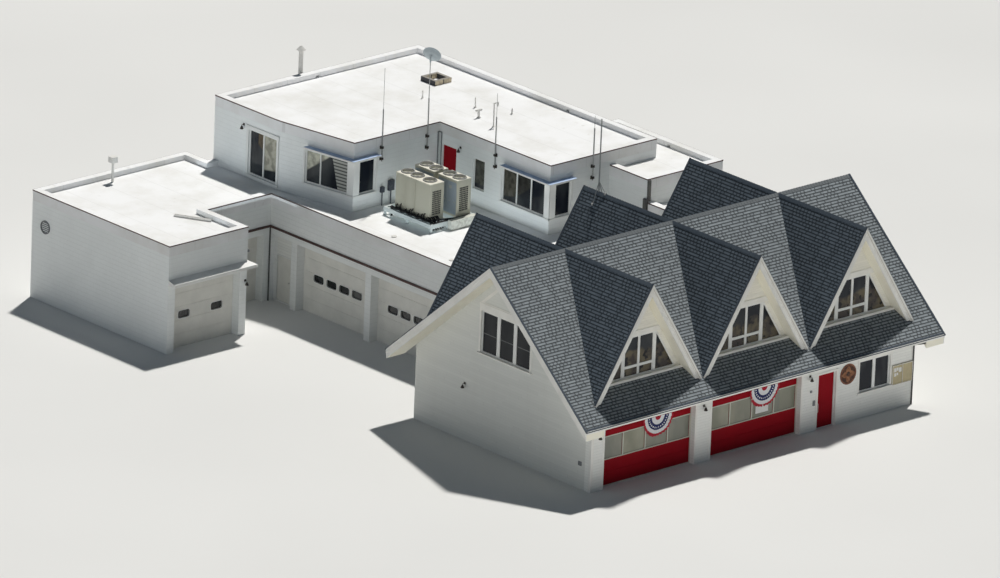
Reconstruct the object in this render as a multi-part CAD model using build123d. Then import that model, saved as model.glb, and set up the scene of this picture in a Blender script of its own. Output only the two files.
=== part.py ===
from build123d import *
import math
import os

# Fire station: a steep-roofed vehicle hall with three cross gables in front, and behind it
# a flat-roofed rear building with a courtyard side, a garage wing and a set-back upper storey.
# All sizes are millimetres. While building, the origin is the hall's front left ground corner,
# X runs along the front, Y runs back and Z runs up. The last step moves the origin to the
# bottom centre of the whole building.

# Front hall, with its front divided into two bays, an entry and a wall to the right
hall_depth = 11040
hall_wall = 360
floor_top = 50
attic_floor_thickness = 200
attic_floor_top = 3500
first_bay = 728
bay_width = 5120
bay_height = 3050
bay_pier = 943
entry_pier = 989
entry_opening = 1050
entry_opening_top = 2445
right_wall_length = 4500

# Hall roof
eave_overhang = 730
rake_overhang = 990
eave_top = 3140
ridge_top = 8543
deck_thickness = 110
gable_count = 3
gable_spacing = 6100
gable_foot_half = 2990
gable_rake_inset = 80
dormer_wall_inset = 700
dormer_wall = 160
rake_box_depth = 320
dormer_box_depth = 290
board_thickness = 40
board_step_depth = 150
board_step_thickness = 30
fascia_depth = 130

# Doors of the hall front
door_recess = 275
entry_recess = 130
frame_face = 35
frame_lip = 30
leaf_thickness = 45
leaf_gap = 8
threshold_height = 20
threshold_lift = 8
knuckle_radius = 9
knuckle_length = 110
knuckle_clearance = 6
hinge_plate_width = 34
hinge_plate_thickness = 6
hinge_from_end = 260
handle_margin = 75
handle_out = 60
handle_radius = 13
handle_low = 740
handle_length = 400
knob_margin = 70
knob_height = 1000
knob_out = 62
knob_rose = 33
knob_rose_thickness = 8
knob_neck = 12
knob_radius = 28
knob_depth = 34

# Windows and their trim
frame_depth = 90
frame_width = 60
frame_inset = 60
glass_thickness = 20
trim_thickness = 20
cap_thickness = 40
sill_depth = 70
sill_height = 60
sill_overrun = 60
hall_window_from_end = 1360
hall_window_width = 1800
hall_window_bottom = 1150
hall_window_height = 1400
hall_window_mullion = 160
gable_window_width = 3080
gable_window_bottom = 4160
gable_window_height = 1860
gable_mullion = 190
gable_header_height = 340
gable_header_cap = 130
gable_panel_half = 1620
gable_panel_border = 120
dormer_sill_out = 150
dormer_sill_height = 100
dormer_frame_inset = 20
dormer_head = 6130
dormer_band_height = 230
dormer_mullion = 190
dormer_muntin = 115
dormer_rail_height = 4800
dormer_mullion_centre = 870
dormer_window_margin = 190
casing_width = 95
corner_board_width = 110

# Front sectional doors
panel_depth = 60
panel_groove = 12
panel_groove_width = 14
front_glass_bottom = 1200
front_glass_top = 2170
front_door_panes = 4
front_door_rail = 70
section_height = 610

# Rear building, measured from the hall's back and its left and right ends
court_x = 4750
rear_wall = 300
court_wall = 500
rear_depth = 19775
low_roof = 4660
slab = 250
parapet_height = 230
parapet_width = 330
step_beyond_hall = 640
step_width = 1694
step_length = 4399
wing_front_depth = 14860
wing_depth = 6350
wing_length = 8070
wing_back_overlap = 590
garage_length = 4420
garage_projection = 2700
drip_thickness = 12
drip_height = 50
right_scupper_back = 1060
step_scuppers_back = [1900, 3600]
scupper_width = 200
scupper_height = 110

# Courtyard openings
ledge_height = 3360
ledge_thickness = 90
ledge_out = 60
ledge_front = 11870
court_opening_top = 3050
court_pier = 370
court_bay = 4450
court_bay_recess = 440
court_door_bay = 1410
court_door_wall_recess = 270
court_door_wall = 200
court_door_width = 860
court_door_height = 2040
court_door_from_corner = 200
court_door_setback = 15
rounded_window_width = 620
rounded_window_height = 320
rounded_window_bottom = 1480
rounded_window_radius = 90
pane_rebate = 30
court_windows = 4
court_window_pitch = 830
garage_bay_margin = 390
garage_bay_top = 2900
garage_windows = 2
garage_window_pitch = 1840
garage_window_bottom = 1300
wing_bay_from_court = 370
wing_bay_width = 2880
wing_door_recess = 430
canopy_top = 3350
canopy_drop = 120
canopy_edge = 130
canopy_out = 400
canopy_side_out = 260
canopy_return = 600

# Upper storey
upper_from_court = 915
upper_slant_out = 704
upper_slant_length = 4165
upper_corner_depth = 11428
upper_bend_radius = 4000
upper_notch_length = 6139
upper_front_out = 7141
upper_wall = 250
upper_top = 7822
slider_bottom = 4860
slider_top = 6900
slider_from_bend = 67
slider_width = 1850
corner_window_bottom = 5380
corner_window_top = 6880
corner_post = 340
west_corner_window = 2320
west_window_split = 1540
south_corner_window = 930
notch_corner_window = 2740
front_corner_window = 910
terrace_door_width = 890
terrace_door_height = 2150
terrace_door_setback = 80
terrace_door_from_corner = 235
terrace_threshold = 50
tall_window_from_corner = 2210
tall_window_width = 750
tall_window_bottom = 5430
tall_window_top = 6810
eyebrow_out = 300
eyebrow_thickness = 70
eyebrow_lift = 120
eyebrow_far_inset = 150
eyebrow_overrun = 50

# Stair block and link beside the upper storey
step_front_out = 2404
step_reach_back = 4273
step_top = 7183
link_top = 6150

# Wall lamps, plaque, notice board and entry fixtures
lamp_plate_half = 50
lamp_plate_thickness = 18
lamp_plate_lift = 180
lamp_arm = 10
lamp_reach = 130
lamp_shade_top = 32
lamp_shade_bottom = 85
lamp_shade_height = 130
lamp_shade_wall = 5
front_lamp_height = 2330
gable_lamp_from_window = 870
gable_lamp_height = 2340
upper_lamp_height = 6830
slider_lamp_gap = 330
terrace_lamp_gap = 260
wing_lamp_from_end = 90
wing_lamp_height = 2280
plaque_radius = 460
plaque_thickness = 24
plaque_height = 2150
board_width = 1180
board_height = 890
board_bottom = 1080
board_depth = 50
board_rim = 55
board_recess = 16
board_from_end = 72
push_plate = 90
push_plate_from_door = 410
push_plate_height = 1810
keypad_width = 110
keypad_part_height = 110
keypad_gap = 30
keypad_groove = 4
keypad_from_door = 220
keypad_height = 1150
fixture_depth = 45

# Bunting on the front doors
bunting_radius = 860
bunting_thickness = 24
bunting_top = 2485
bunting_from_bay = 3230

# Rain pipes
rain_pipe_radius = 33
rain_pipe_from_end = 36
rain_pipe_outlet = 2930
rain_pipe_outlet_out = 50
rain_pipe_wall_top = 2680
stair_pipe_width = 150
stair_pipe_depth = 90
stair_pipe_knee = 6290

# Air units on the low roof, placed from the corner of the upper storey
unit_depth = 800
unit_wide = 1240
unit_narrow = 930
unit_height = 1657
unit_base = 373
unit_gap = 20
left_bank_from_corner = 1171
right_bank_from_corner = 2471
left_bank_back = 1428
right_bank_back = 1178
right_bank_gap = 250
fan_radius = 265
fan_well_depth = 320
hub_radius = 60
hub_height = 90
blade_count = 3
blade_thickness = 14
blade_width = 150
blade_clearance = 30
blade_tilt = 24
grille_margin = 150
grille_top = 330
grille_bottom = 230
grille_recess = 25
seam_width = 10
frame_rail = 100
frame_left_reach = 260
frame_right_reach = 160
frame_front_reach = 140
frame_back_reach = 200
rail_depth = 190
pipe_count = 2
pipe_radius = 22
pipe_pitch = 60
pipe_first = 35
pipe_start_step = 90
pipe_back_reach = 130
plinth_left = 590
plinth_width = 740
plinth_gap = 12
plinth_depth = 260
plinth_height = 430

# Masts on wall brackets, placed from the upper storey's corners, and a dish
mast_radius = 30
mast_standoff = 70
mast_foot = 6690
mast_top = 9050
mast_bracket_low = 90
mast_bracket_high = 600
mast_bracket_height = 60
mast_bracket_width = 90
whip_radius = 10
first_mast_from_corner = 1521
first_mast_top = 10920
dish_mast_from_notch = 757
dish_mast_top = 10820
dish_pole_radius = 18
third_mast_back = 3473
third_mast_top = 10120
fourth_mast_from_corner = 2393
fourth_mast_top = 9610
dish_radius = 410
dish_depth = 90
dish_wall = 12
dish_arm = 60
dish_arm_radius = 14
dish_clamp_radius = 36
dish_clamp_height = 160
dish_clamp_over = 130
dish_ahead = 45
dish_lift = 140
dish_direction = (0.78, 0.42, 0.45)

# Tripod mast on the ridge of the middle cross gable
tripod_back = 940
tripod_mast_height = 3240
tripod_joint = 450
tripod_spread = 420
tripod_side = 325
leg_radius = 16
foot_size = 90

# Vents on the upper roof: right of the notch corner, behind the storey's corner, height, radius
vent_pipes = [
    (2951, 1017, 460, 32),
    (3673, -564, 250, 32),
    (1909, 3287, 350, 28),
]
vent_collar = 25
vent_radius = 30
gooseneck_right = 1850
gooseneck_back = -1395
gooseneck_height = 1070
gooseneck_out = 220
gooseneck_drop = 180
tee_right = 2154
tee_back = -93
tee_height = 340
tee_radius = 50
tee_length = 330
hatch_from_right = 2696
hatch_from_back = 4165
hatch_length = 950
hatch_width = 950
hatch_height = 210
hatch_wall = 150
flue_from_notch = 557
flue_radius = 100
flue_foot = 5300
flue_top = 8850
flue_standoff = 180
flue_cap_radius = 210
flue_cap_height = 180

# Small things on the low roof
drain_radius = 120
drain_height = 45
drain_from_court = 975
drains_back = [0, 3700]
post_from_court = 4210
post_from_back = 730
post_radius = 55
post_height = 1000
post_head_width = 300
post_head_height = 260
lying_pipe_from_right = 1330
lying_pipe_back = 3340
lying_pipe_radius = 45
lying_pipe_length = 1700
lying_pipe_run = 830
lying_pipe_fall = 1480

# Electrical boxes, conduit and vents on the walls
switch_box_from_corner = 1980
switch_box_lift = 600
switch_box_width = 300
switch_box_height = 460
switch_box_depth = 120
small_box_gap = 260
small_box_width = 180
small_box_height = 250
conduit_radius = 25
conduit_left = 97
conduit_front = 168
conduit_top = 7380
wing_vent_from_back = 900
wing_vent_height = 3420
wing_vent_radius = 300
vent_rim = 40
vent_slats = 6
slat_half = 14
gable_vent_from_front = 650
gable_vent_height = 1130
gable_vent = 180
flood_size = 110
flood_height = 3720

# Cuts run past a solid by over, or far beyond the building; snug keeps curved faces apart
over = 100
far = 60000
through = 600
snug = 0.3

here = Align.MIN


def block(x0, x1, y0, y1, z0, z1):
    """A plain box between two corners."""
    return Pos(x0, y0, z0) * Box(x1 - x0, y1 - y0, z1 - z0, align=(here, here, here))


def upright(radius, x, y, z0, z1):
    """A round bar standing between two heights."""
    return Pos(x, y, z0) * Cylinder(radius, z1 - z0, align=(Align.CENTER, Align.CENTER, here))


def face_of(points):
    return make_face(Polyline(*points, close=True))


def prism_x(points, x0, x1):
    """Extrudes a (y, z) outline along X."""
    outline = face_of([(x0, y, z) for y, z in points])
    return extrude(outline, amount=x1 - x0, dir=(1, 0, 0))


def prism_y(points, y0, y1):
    """Extrudes an (x, z) outline along Y."""
    outline = face_of([(x, y0, z) for x, z in points])
    return extrude(outline, amount=y1 - y0, dir=(0, 1, 0))


def prism_z(points, z0, z1):
    """Extrudes an (x, y) outline along Z."""
    outline = face_of([(x, y, z0) for x, y in points])
    return extrude(outline, amount=z1 - z0, dir=(0, 0, 1))


def lift(face, z0, z1):
    """Extrudes a plan face between two heights."""
    return extrude(Pos(0, 0, z0) * face, amount=z1 - z0, dir=(0, 0, 1))


def inset(plan, width):
    """The plan face drawn in by a wall's width, with its corners kept sharp."""
    return offset(plan, -width, kind=Kind.INTERSECTION)


def post(radius, x, y, z0, z1, sides=8):
    """An upright bar of many flat sides, for small round things."""
    return extrude(Pos(x, y, z0) * RegularPolygon(radius, sides), amount=z1 - z0, dir=(0, 0, 1))


def pipe_run(radius, *points, sides=8):
    """A pipe along straight runs with mitred corners."""
    path = Polyline(*points)
    section = Plane(origin=path @ 0, z_dir=path % 0) * RegularPolygon(radius, sides)
    return sweep(section, path=path, transition=Transition.RIGHT)


parts = {}


def add(name, *shapes):
    """Adds solids to one named piece; like pieces that don't touch share a name."""
    parts.setdefault(name, []).extend(solid for shape in shapes for solid in shape.solids())


# Places along the hall front
bay_starts = [first_bay, first_bay + bay_width + bay_pier]
entry_left = bay_starts[1] + bay_width + entry_pier
entry_right = entry_left + entry_opening
hall_length = entry_right + right_wall_length
hall_window_left = hall_length - hall_window_from_end - hall_window_width

# Slopes of the hall roof
ridge_y = hall_depth / 2
main_slope = (ridge_top - eave_top) / (ridge_y + eave_overhang)
foot_top = eave_top + main_slope * (eave_overhang + gable_rake_inset)
cross_slope = (ridge_top - foot_top) / gable_foot_half
main_drop = math.hypot(1, main_slope)
cross_drop = math.hypot(1, cross_slope)
gable_centres = [
    hall_length / 2 + (i - (gable_count - 1) / 2) * gable_spacing for i in range(gable_count)
]
roof_left = -rake_overhang
roof_right = hall_length + rake_overhang
gable_front = gable_rake_inset
gable_back = hall_depth - gable_rake_inset
front_wall_plane = dormer_wall_inset
back_wall_plane = hall_depth - dormer_wall_inset
low_meet = ridge_y + (ridge_top - low_roof) / main_slope
low_under = low_roof - slab

# Places of the rear building
rear_back = hall_depth + rear_depth
step_right = hall_length + step_beyond_hall
step_left = step_right - step_length
rear_right = step_right - step_width
wing_front = hall_depth + wing_front_depth
wing_back = wing_front + wing_depth
wing_left = court_x - wing_length
wing_right = court_x + wing_back_overlap
garage_front = wing_front - garage_projection
garage_right = wing_left + garage_length
upper_left = court_x + upper_from_court
upper_corner_x = upper_left + upper_slant_out
upper_corner_y = hall_depth + upper_corner_depth
upper_bend = upper_corner_y + upper_slant_length
upper_notch = rear_right - upper_notch_length
upper_front = upper_corner_y - upper_front_out
step_front = upper_front - step_front_out
step_back = upper_front + step_reach_back
slider_near = upper_bend + slider_from_bend
upper_roof_top = upper_top - parapet_height


def main_top(y, depth=0):
    """Height of the main roof over a depth line, or of a layer a given depth under it."""
    return ridge_top - main_slope * abs(y - ridge_y) - depth * main_drop


def main_prism(depth, x0, x1, base=0.0):
    """Everything under the main slopes, or under a layer a given depth below them."""
    low, high = -eave_overhang, hall_depth + eave_overhang
    points = [
        (low, base),
        (low, main_top(low, depth)),
        (ridge_y, main_top(ridge_y, depth)),
        (high, main_top(high, depth)),
        (high, base),
    ]
    return prism_x(points, x0, x1)


def cross_prism(centre, depth, y0, y1, base=2000.0):
    """Everything under one cross gable, or under a layer a given depth below it."""
    apex = ridge_top - depth * cross_drop
    half = (apex - base) / cross_slope
    return prism_y([(centre - half, base), (centre, apex), (centre + half, base)], y0, y1)


def under_deck(y):
    """Height of the deck's underside over a depth line."""
    return main_top(y, deck_thickness)


def under_main():
    """Everything under the surface of the main roof, cut wider than the roof."""
    return main_prism(0, roof_left - over, roof_right + over)


def low_cut():
    """Room of the flat-roofed rear building, which the hall's back slope doesn't enter."""
    return block(court_x, roof_right + over, low_meet, hall_depth + 2 * eave_overhang, -slab, low_roof)


dormer_sill_front = front_wall_plane - dormer_sill_out
dormer_sill_top = main_top(dormer_sill_front) + dormer_sill_height


def roof_slopes():
    """The main slopes and the cross gables' slopes, each its own flat deck."""
    underside = main_prism(deck_thickness, roof_left - over, roof_right + over, base=-slab)
    main_deck = main_prism(0, roof_left, roof_right, base=2 * slab) - underside - low_cut()
    for centre in gable_centres:
        main_deck -= cross_prism(centre, deck_thickness, dormer_sill_front, back_wall_plane)
    front_half = block(roof_left, roof_right, -eave_overhang, ridge_y, 0, ridge_top + over)
    back_half = block(roof_left, roof_right, ridge_y, hall_depth + eave_overhang, 0, ridge_top + over)
    add("roof_front_slope", main_deck & front_half)
    add("roof_back_slope", main_deck & back_half)
    for centre in gable_centres:
        shell = cross_prism(centre, 0, gable_front, gable_back)
        shell -= cross_prism(centre, deck_thickness, gable_front - over, gable_back + over)
        shell = shell - under_main() - low_cut()
        for y0, y1 in ((0, ridge_y), (ridge_y, hall_depth)):
            left = block(centre - gable_spacing, centre, y0, y1, 0, ridge_top + over)
            right = block(centre, centre + gable_spacing, y0, y1, 0, ridge_top + over)
            add("gable_left_slopes", shell & left)
            add("gable_right_slopes", shell & right)


def v_board(centre, top_depth, low_depth, y0, y1):
    """A folded board that follows both slopes of a cross gable, standing on the main roof."""
    board = cross_prism(centre, top_depth, y0, y1)
    board -= cross_prism(centre, low_depth, y0 - over, y1 + over)
    return board - under_main() - low_cut()


def dormer_trim():
    """Boxed soffits, stepped rake boards and sills of the cross gables."""
    for centre in gable_centres:
        front_soffit = v_board(centre, deck_thickness, dormer_box_depth, gable_front, front_wall_plane)
        add("roof_soffits", front_soffit)
        add(
            "roof_soffits",
            v_board(centre, deck_thickness, dormer_box_depth, back_wall_plane, gable_back),
        )
        y0 = gable_front - board_thickness
        front = v_board(centre, 0, dormer_box_depth, y0, gable_front)
        front += v_board(centre, 0, board_step_depth, y0 - board_step_thickness, y0)
        y1 = gable_back + board_thickness
        back = v_board(centre, 0, dormer_box_depth, gable_back, y1)
        back += v_board(centre, 0, board_step_depth, y1, y1 + board_step_thickness)
        add("rake_boards", front, back)
        # The sill is let into the main slope in front of the window
        sill = cross_prism(centre, deck_thickness, dormer_sill_front, front_wall_plane)
        sill &= block(centre - gable_spacing, centre + gable_spacing, 0, ridge_y, 0, dormer_sill_top)
        sill -= main_prism(deck_thickness, roof_left, roof_right, base=-slab)
        add("window_sills", sill - front_soffit)


def main_band(top_depth, low_depth, x0, x1, y0, y1):
    """A layer that follows the main slopes between two depths."""
    band = main_prism(top_depth, x0, x1) - main_prism(low_depth, x0 - over, x1 + over, base=-slab)
    return band & block(x0, x1, y0, y1, 0, ridge_top + over)


def main_trim():
    """Boxed rakes, rake boards and eave boards of the main roof."""
    front, back = -eave_overhang, hall_depth + eave_overhang
    left_box = main_band(deck_thickness, rake_box_depth, roof_left, 0, front, back)
    right_box = main_band(deck_thickness, rake_box_depth, hall_length, roof_right, front, back)
    add("roof_soffits", left_box, right_box - low_cut())
    left_board = roof_left - board_thickness
    left_step = left_board - board_step_thickness
    left = main_band(0, rake_box_depth, left_board, roof_left, front, back)
    left += main_band(0, board_step_depth, left_step, left_board, front, back)
    right_board = roof_right + board_thickness
    right_step = right_board + board_step_thickness
    right = main_band(0, rake_box_depth, roof_right, right_board, front, back)
    right += main_band(0, board_step_depth, right_board, right_step, front, back)
    add("rake_boards", left, right - low_cut())
    low = eave_top - fascia_depth
    add("eave_boards", block(roof_left, roof_right, front - board_thickness, front, low, eave_top))
    add("eave_boards", block(roof_left, court_x, back, back + board_thickness, low, eave_top))


def window_parts(width, z0, z1, splits, mullion):
    """A frame in the XZ plane from the origin, with its panes; splits are mullion centres."""
    frame = block(0, width, 0, frame_depth, z0, z1)
    edges = [frame_width] + [s + side * mullion / 2 for s in splits for side in (-1, 1)]
    edges += [width - frame_width]
    low, high = z0 + frame_width, z1 - frame_width
    glass_face = (frame_depth - glass_thickness) / 2
    panes = []
    for left, right in zip(edges[0::2], edges[1::2]):
        frame -= block(left, right, -over, over, low, high)
        panes.append(block(left, right, glass_face, glass_face + glass_thickness, low, high))
    return frame, panes


def cut_window(wall, place, width, z0, z1, splits=(), mullion=frame_width):
    """Cuts a window's opening through a wall and sets its frame and panes into it."""
    frame, panes = window_parts(width, z0, z1, splits, mullion)
    inside = place * Pos(0, frame_inset, 0)
    add("window_frames", inside * frame)
    add("window_glass", *[inside * pane for pane in panes])
    return wall - place * block(0, width, -over, through, z0, z1)


def facing_left(x, y_high):
    """Place for a piece made in the XZ plane in a wall that faces -X; it runs towards -Y."""
    return Pos(x, y_high, 0) * Rot(0, 0, -90)


def front_wall():
    """Piers, header, lintel and the wall right of the entry."""
    piers = [
        block(0, first_bay, 0, hall_wall, 0, bay_height),
        block(bay_starts[0] + bay_width, bay_starts[1], 0, hall_wall, 0, bay_height),
        block(bay_starts[1] + bay_width, entry_left, 0, hall_wall, 0, bay_height),
    ]
    add("front_piers", *piers)
    header = [
        (0, bay_height),
        (0, under_deck(0)),
        (hall_wall, under_deck(hall_wall)),
        (hall_wall, bay_height),
    ]
    add("front_header", prism_x(header, 0, hall_length))
    add("door_lintels", block(entry_left, entry_right, 0, hall_wall, entry_opening_top, bay_height))
    right = block(entry_right, hall_length, 0, hall_wall, 0, bay_height)
    window_top = hall_window_bottom + hall_window_height
    place = Pos(hall_window_left, 0, 0)
    splits = [hall_window_width / 2]
    right = cut_window(
        right, place, hall_window_width, hall_window_bottom, window_top, splits, hall_window_mullion
    )
    add("front_right_wall", right)


def front_casing(x0, x1, top):
    """Flat boards on the wall face round an opening that reaches the ground."""
    boards = block(x0 - casing_width, x1 + casing_width, -trim_thickness, 0, 0, top + casing_width)
    return boards - block(x0, x1, -over, over, -over, top)


def front_trim():
    """Casings of the bays and the entry, corner boards and the hall window's trim."""
    for start in bay_starts:
        add("wall_trim", front_casing(start, start + bay_width, bay_height))
    add("wall_trim", front_casing(entry_left, entry_right, entry_opening_top))
    corner = block(-trim_thickness, corner_board_width, -trim_thickness, 0, 0, bay_height)
    corner += block(-trim_thickness, 0, 0, corner_board_width, 0, bay_height)
    add("wall_trim", corner)
    x0, x1 = hall_window_left, hall_window_left + hall_window_width
    top = hall_window_bottom + hall_window_height
    z0 = hall_window_bottom
    boards = block(x0 - casing_width, x1 + casing_width, -trim_thickness, 0, z0, top + casing_width)
    add("wall_trim", boards - block(x0, x1, -over, over, z0 - over, top))
    add(
        "window_sills",
        block(x0 - casing_width, x1 + casing_width, -sill_depth, 0, z0 - sill_height, z0),
    )


gable_window_low = ridge_y - gable_window_width / 2
gable_window_high = ridge_y + gable_window_width / 2
gable_window_top = gable_window_bottom + gable_window_height


def gable_outline(under_low_roof):
    """Outline of a hall end wall between the front and back walls."""
    y0, y1 = hall_wall, hall_depth - hall_wall
    points = [(y0, 0), (y0, under_deck(y0)), (ridge_y, under_deck(ridge_y))]
    if under_low_roof:
        points += [(low_meet, under_deck(low_meet)), (low_meet, low_under), (y1, low_under)]
    else:
        points += [(y1, under_deck(y1))]
    return points + [(y1, 0)]


def hall_shell():
    """End walls, back wall and the attic floor."""
    left = prism_x(gable_outline(False), 0, hall_wall)
    place = facing_left(0, gable_window_high)
    width = gable_window_width
    splits = [width / 3, 2 * width / 3]
    left = cut_window(
        left, place, width, gable_window_bottom, gable_window_top, splits, gable_mullion
    )
    add("end_gable_walls", left)
    add("end_gable_walls", prism_x(gable_outline(True), hall_length - hall_wall, hall_length))
    y0, y1 = hall_depth - hall_wall, hall_depth
    exposed = prism_x([(y0, 0), (y0, under_deck(y0)), (y1, under_deck(y1)), (y1, 0)], 0, court_x)
    shared = block(court_x, hall_length, y0, y1, 0, low_under)
    add("hall_back_wall", exposed + shared)
    inner_right = hall_length - hall_wall
    low = attic_floor_top - attic_floor_thickness
    add("attic_floor", block(hall_wall, inner_right, hall_wall, y0, low, attic_floor_top))


def gable_trim():
    """Casing, header, sill and the bordered panel over the end gable window."""
    y0, y1 = gable_window_low, gable_window_high
    face = -trim_thickness
    header_top = gable_window_top + gable_header_height
    for low in (y0 - casing_width, y1):
        add("wall_trim", block(face, 0, low, low + casing_width, gable_window_bottom, gable_window_top))
    cap_low = header_top - gable_header_cap
    header = block(face, 0, y0 - casing_width, y1 + casing_width, gable_window_top, cap_low)
    header += block(-cap_thickness, 0, y0 - casing_width, y1 + casing_width, cap_low, header_top)
    add("wall_trim", header)
    rise = main_slope * gable_panel_half
    outer = [
        (ridge_y - gable_panel_half, header_top),
        (ridge_y + gable_panel_half, header_top),
        (ridge_y, header_top + rise),
    ]
    inner_low = header_top + gable_panel_border / 2
    inner_top = header_top + rise - gable_panel_border * main_drop
    inner_half = (inner_top - inner_low) / main_slope
    inner = [
        (ridge_y - inner_half, inner_low),
        (ridge_y + inner_half, inner_low),
        (ridge_y, inner_top),
    ]
    add("wall_trim", prism_x(outer, face, 0) - prism_x(inner, face - over, over))
    add(
        "window_sills",
        block(
            -sill_depth,
            0,
            y0 - casing_width - sill_overrun,
            y1 + casing_width + sill_overrun,
            gable_window_bottom - sill_height,
            gable_window_bottom,
        ),
    )


def dormer_window_outline(centre, margin, sill, head):
    """Window outline between a sill, a head and the two slopes."""
    inner = dormer_box_depth + margin
    apex = ridge_top - inner * cross_drop
    low = (apex - sill) / cross_slope
    high = (apex - head) / cross_slope
    return [(centre - low, sill), (centre - high, head), (centre + high, head), (centre + low, sill)]


def dormer_walls():
    """Front walls of the cross gables with a trim band over the window, and plain back ones."""
    y0, y1 = front_wall_plane, front_wall_plane + dormer_wall
    back0, back1 = back_wall_plane - dormer_wall, back_wall_plane
    under = main_prism(deck_thickness, roof_left - over, roof_right + over)
    for centre in gable_centres:
        outline = dormer_window_outline(centre, dormer_window_margin, dormer_sill_top, dormer_head)
        front = cross_prism(centre, deck_thickness, y0, y1) - under
        front -= prism_y(outline, y0 - over, y1 + over)
        add("dormer_walls", front)
        add("dormer_walls", cross_prism(centre, deck_thickness, back0, back1) - under - low_cut())
        band = cross_prism(centre, dormer_box_depth, y0 - trim_thickness, y0)
        top = dormer_head + dormer_band_height
        band &= block(centre - gable_spacing, centre + gable_spacing, 0, ridge_y, dormer_head, top)
        add("wall_trim", band)


def dormer_window(centre):
    """Frame and glass that fill a cross gable down to its sill."""
    y0 = front_wall_plane + dormer_frame_inset
    y1 = y0 + frame_depth
    sill, head = dormer_sill_top, dormer_head
    outer = prism_y(dormer_window_outline(centre, dormer_window_margin, sill, head), y0, y1)
    lights = prism_y(
        dormer_window_outline(
            centre, dormer_window_margin + frame_width, sill + frame_width, head - frame_width
        ),
        y0 - over,
        y1 + over,
    )
    for side in (-1, 1):
        mullion = centre + side * dormer_mullion_centre
        x0, x1 = mullion - dormer_mullion / 2, mullion + dormer_mullion / 2
        lights -= block(x0, x1, y0 - over, y1 + over, 0, ridge_top)
    half = dormer_muntin / 2
    lights -= block(centre - half, centre + half, y0 - over, y1 + over, 0, ridge_top)
    lights -= block(
        centre - dormer_mullion_centre,
        centre + dormer_mullion_centre,
        y0 - over,
        y1 + over,
        dormer_rail_height - half,
        dormer_rail_height + half,
    )
    add("window_frames", outer - lights)
    middle = (y0 + y1 - glass_thickness) / 2
    layer = block(
        centre - gable_spacing,
        centre + gable_spacing,
        middle,
        middle + glass_thickness,
        0,
        ridge_top,
    )
    add("window_glass", lights & layer)


def hall_windows():
    """Windows of the cross gables."""
    for centre in gable_centres:
        dormer_window(centre)


def sectional_door(width, height):
    """A panel door in the XZ plane from the origin, with grooves between its sections."""
    leaf = block(0, width, 0, panel_depth, 0, height)
    half = panel_groove_width / 2
    for i in range(1, round(height / section_height)):
        z = i * section_height
        leaf -= block(-over, width + over, -over, panel_groove, z - half, z + half)
    return leaf


def front_garage_doors():
    """The two wide doors of the hall, each with one row of glass."""
    pitch = (bay_width - front_door_rail) / front_door_panes
    glass_face = (panel_depth - glass_thickness) / 2
    for start in bay_starts:
        place = Pos(start, door_recess, 0)
        leaf = sectional_door(bay_width, bay_height)
        for i in range(front_door_panes):
            x0, x1 = front_door_rail + i * pitch, (i + 1) * pitch
            leaf -= block(x0, x1, -over, over, front_glass_bottom, front_glass_top)
            pane = block(
                x0,
                x1,
                glass_face,
                glass_face + glass_thickness,
                front_glass_bottom,
                front_glass_top,
            )
            add("door_glass", place * pane)
        add("front_garage_doors", place * leaf)


def door_parts(width, top, foot, frame_back):
    """Frame, leaf and hinge line of a side-hung door in the XZ plane, hinged at its right jamb.

    The leaf's outer face lies in the plane y = 0, the frame's face a lip in front of it, and
    the hinge line just outside the leaf's face, level with the middle of the gap."""
    frame = block(0, width, -frame_lip, frame_back, 0, top)
    frame -= block(frame_face, width - frame_face, -over, far, foot, top - frame_face)
    hinge_x = width - frame_face - leaf_gap / 2
    hinge_y = -(knuckle_radius + knuckle_clearance)
    jamb = width - frame_face
    low, high = foot + threshold_lift, top - frame_face - leaf_gap
    span = (high - low - 2 * hinge_from_end) / 2
    for i in range(3):
        z = low + hinge_from_end + i * span - knuckle_length / 2
        knuckle = post(knuckle_radius, hinge_x, hinge_y, z, z + knuckle_length)
        plate = block(
            hinge_x,
            jamb + hinge_plate_width,
            -frame_lip - hinge_plate_thickness,
            -frame_lip,
            z,
            z + knuckle_length,
        )
        bracket = block(hinge_x, jamb, -frame_lip, hinge_y, z, z + knuckle_length)
        frame += knuckle + plate + bracket
    leaf = block(frame_face + leaf_gap, jamb - leaf_gap, 0, leaf_thickness, low, high)
    return frame, leaf, (hinge_x, hinge_y)


def entry_door():
    """Red entry door: frame, a hinged leaf and its pull handle; returns the hinge line."""
    frame, leaf, hinge = door_parts(
        entry_opening, entry_opening_top, threshold_height, hall_wall - entry_recess
    )
    place = Pos(entry_left, entry_recess, 0)
    add("door_frames", place * frame)
    add("entry_door", place * leaf)
    x = frame_face + leaf_gap + handle_margin
    path = FilletPolyline(
        (x, 0, handle_low),
        (x, -handle_out, handle_low),
        (x, -handle_out, handle_low + handle_length),
        (x, 0, handle_low + handle_length),
        radius=handle_out / 2,
    )
    section = Plane(origin=path @ 0, z_dir=path % 0) * RegularPolygon(handle_radius, 8)
    add("entry_handle", place * sweep(section, path=path))
    return entry_left + hinge[0], entry_recess + hinge[1]


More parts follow.
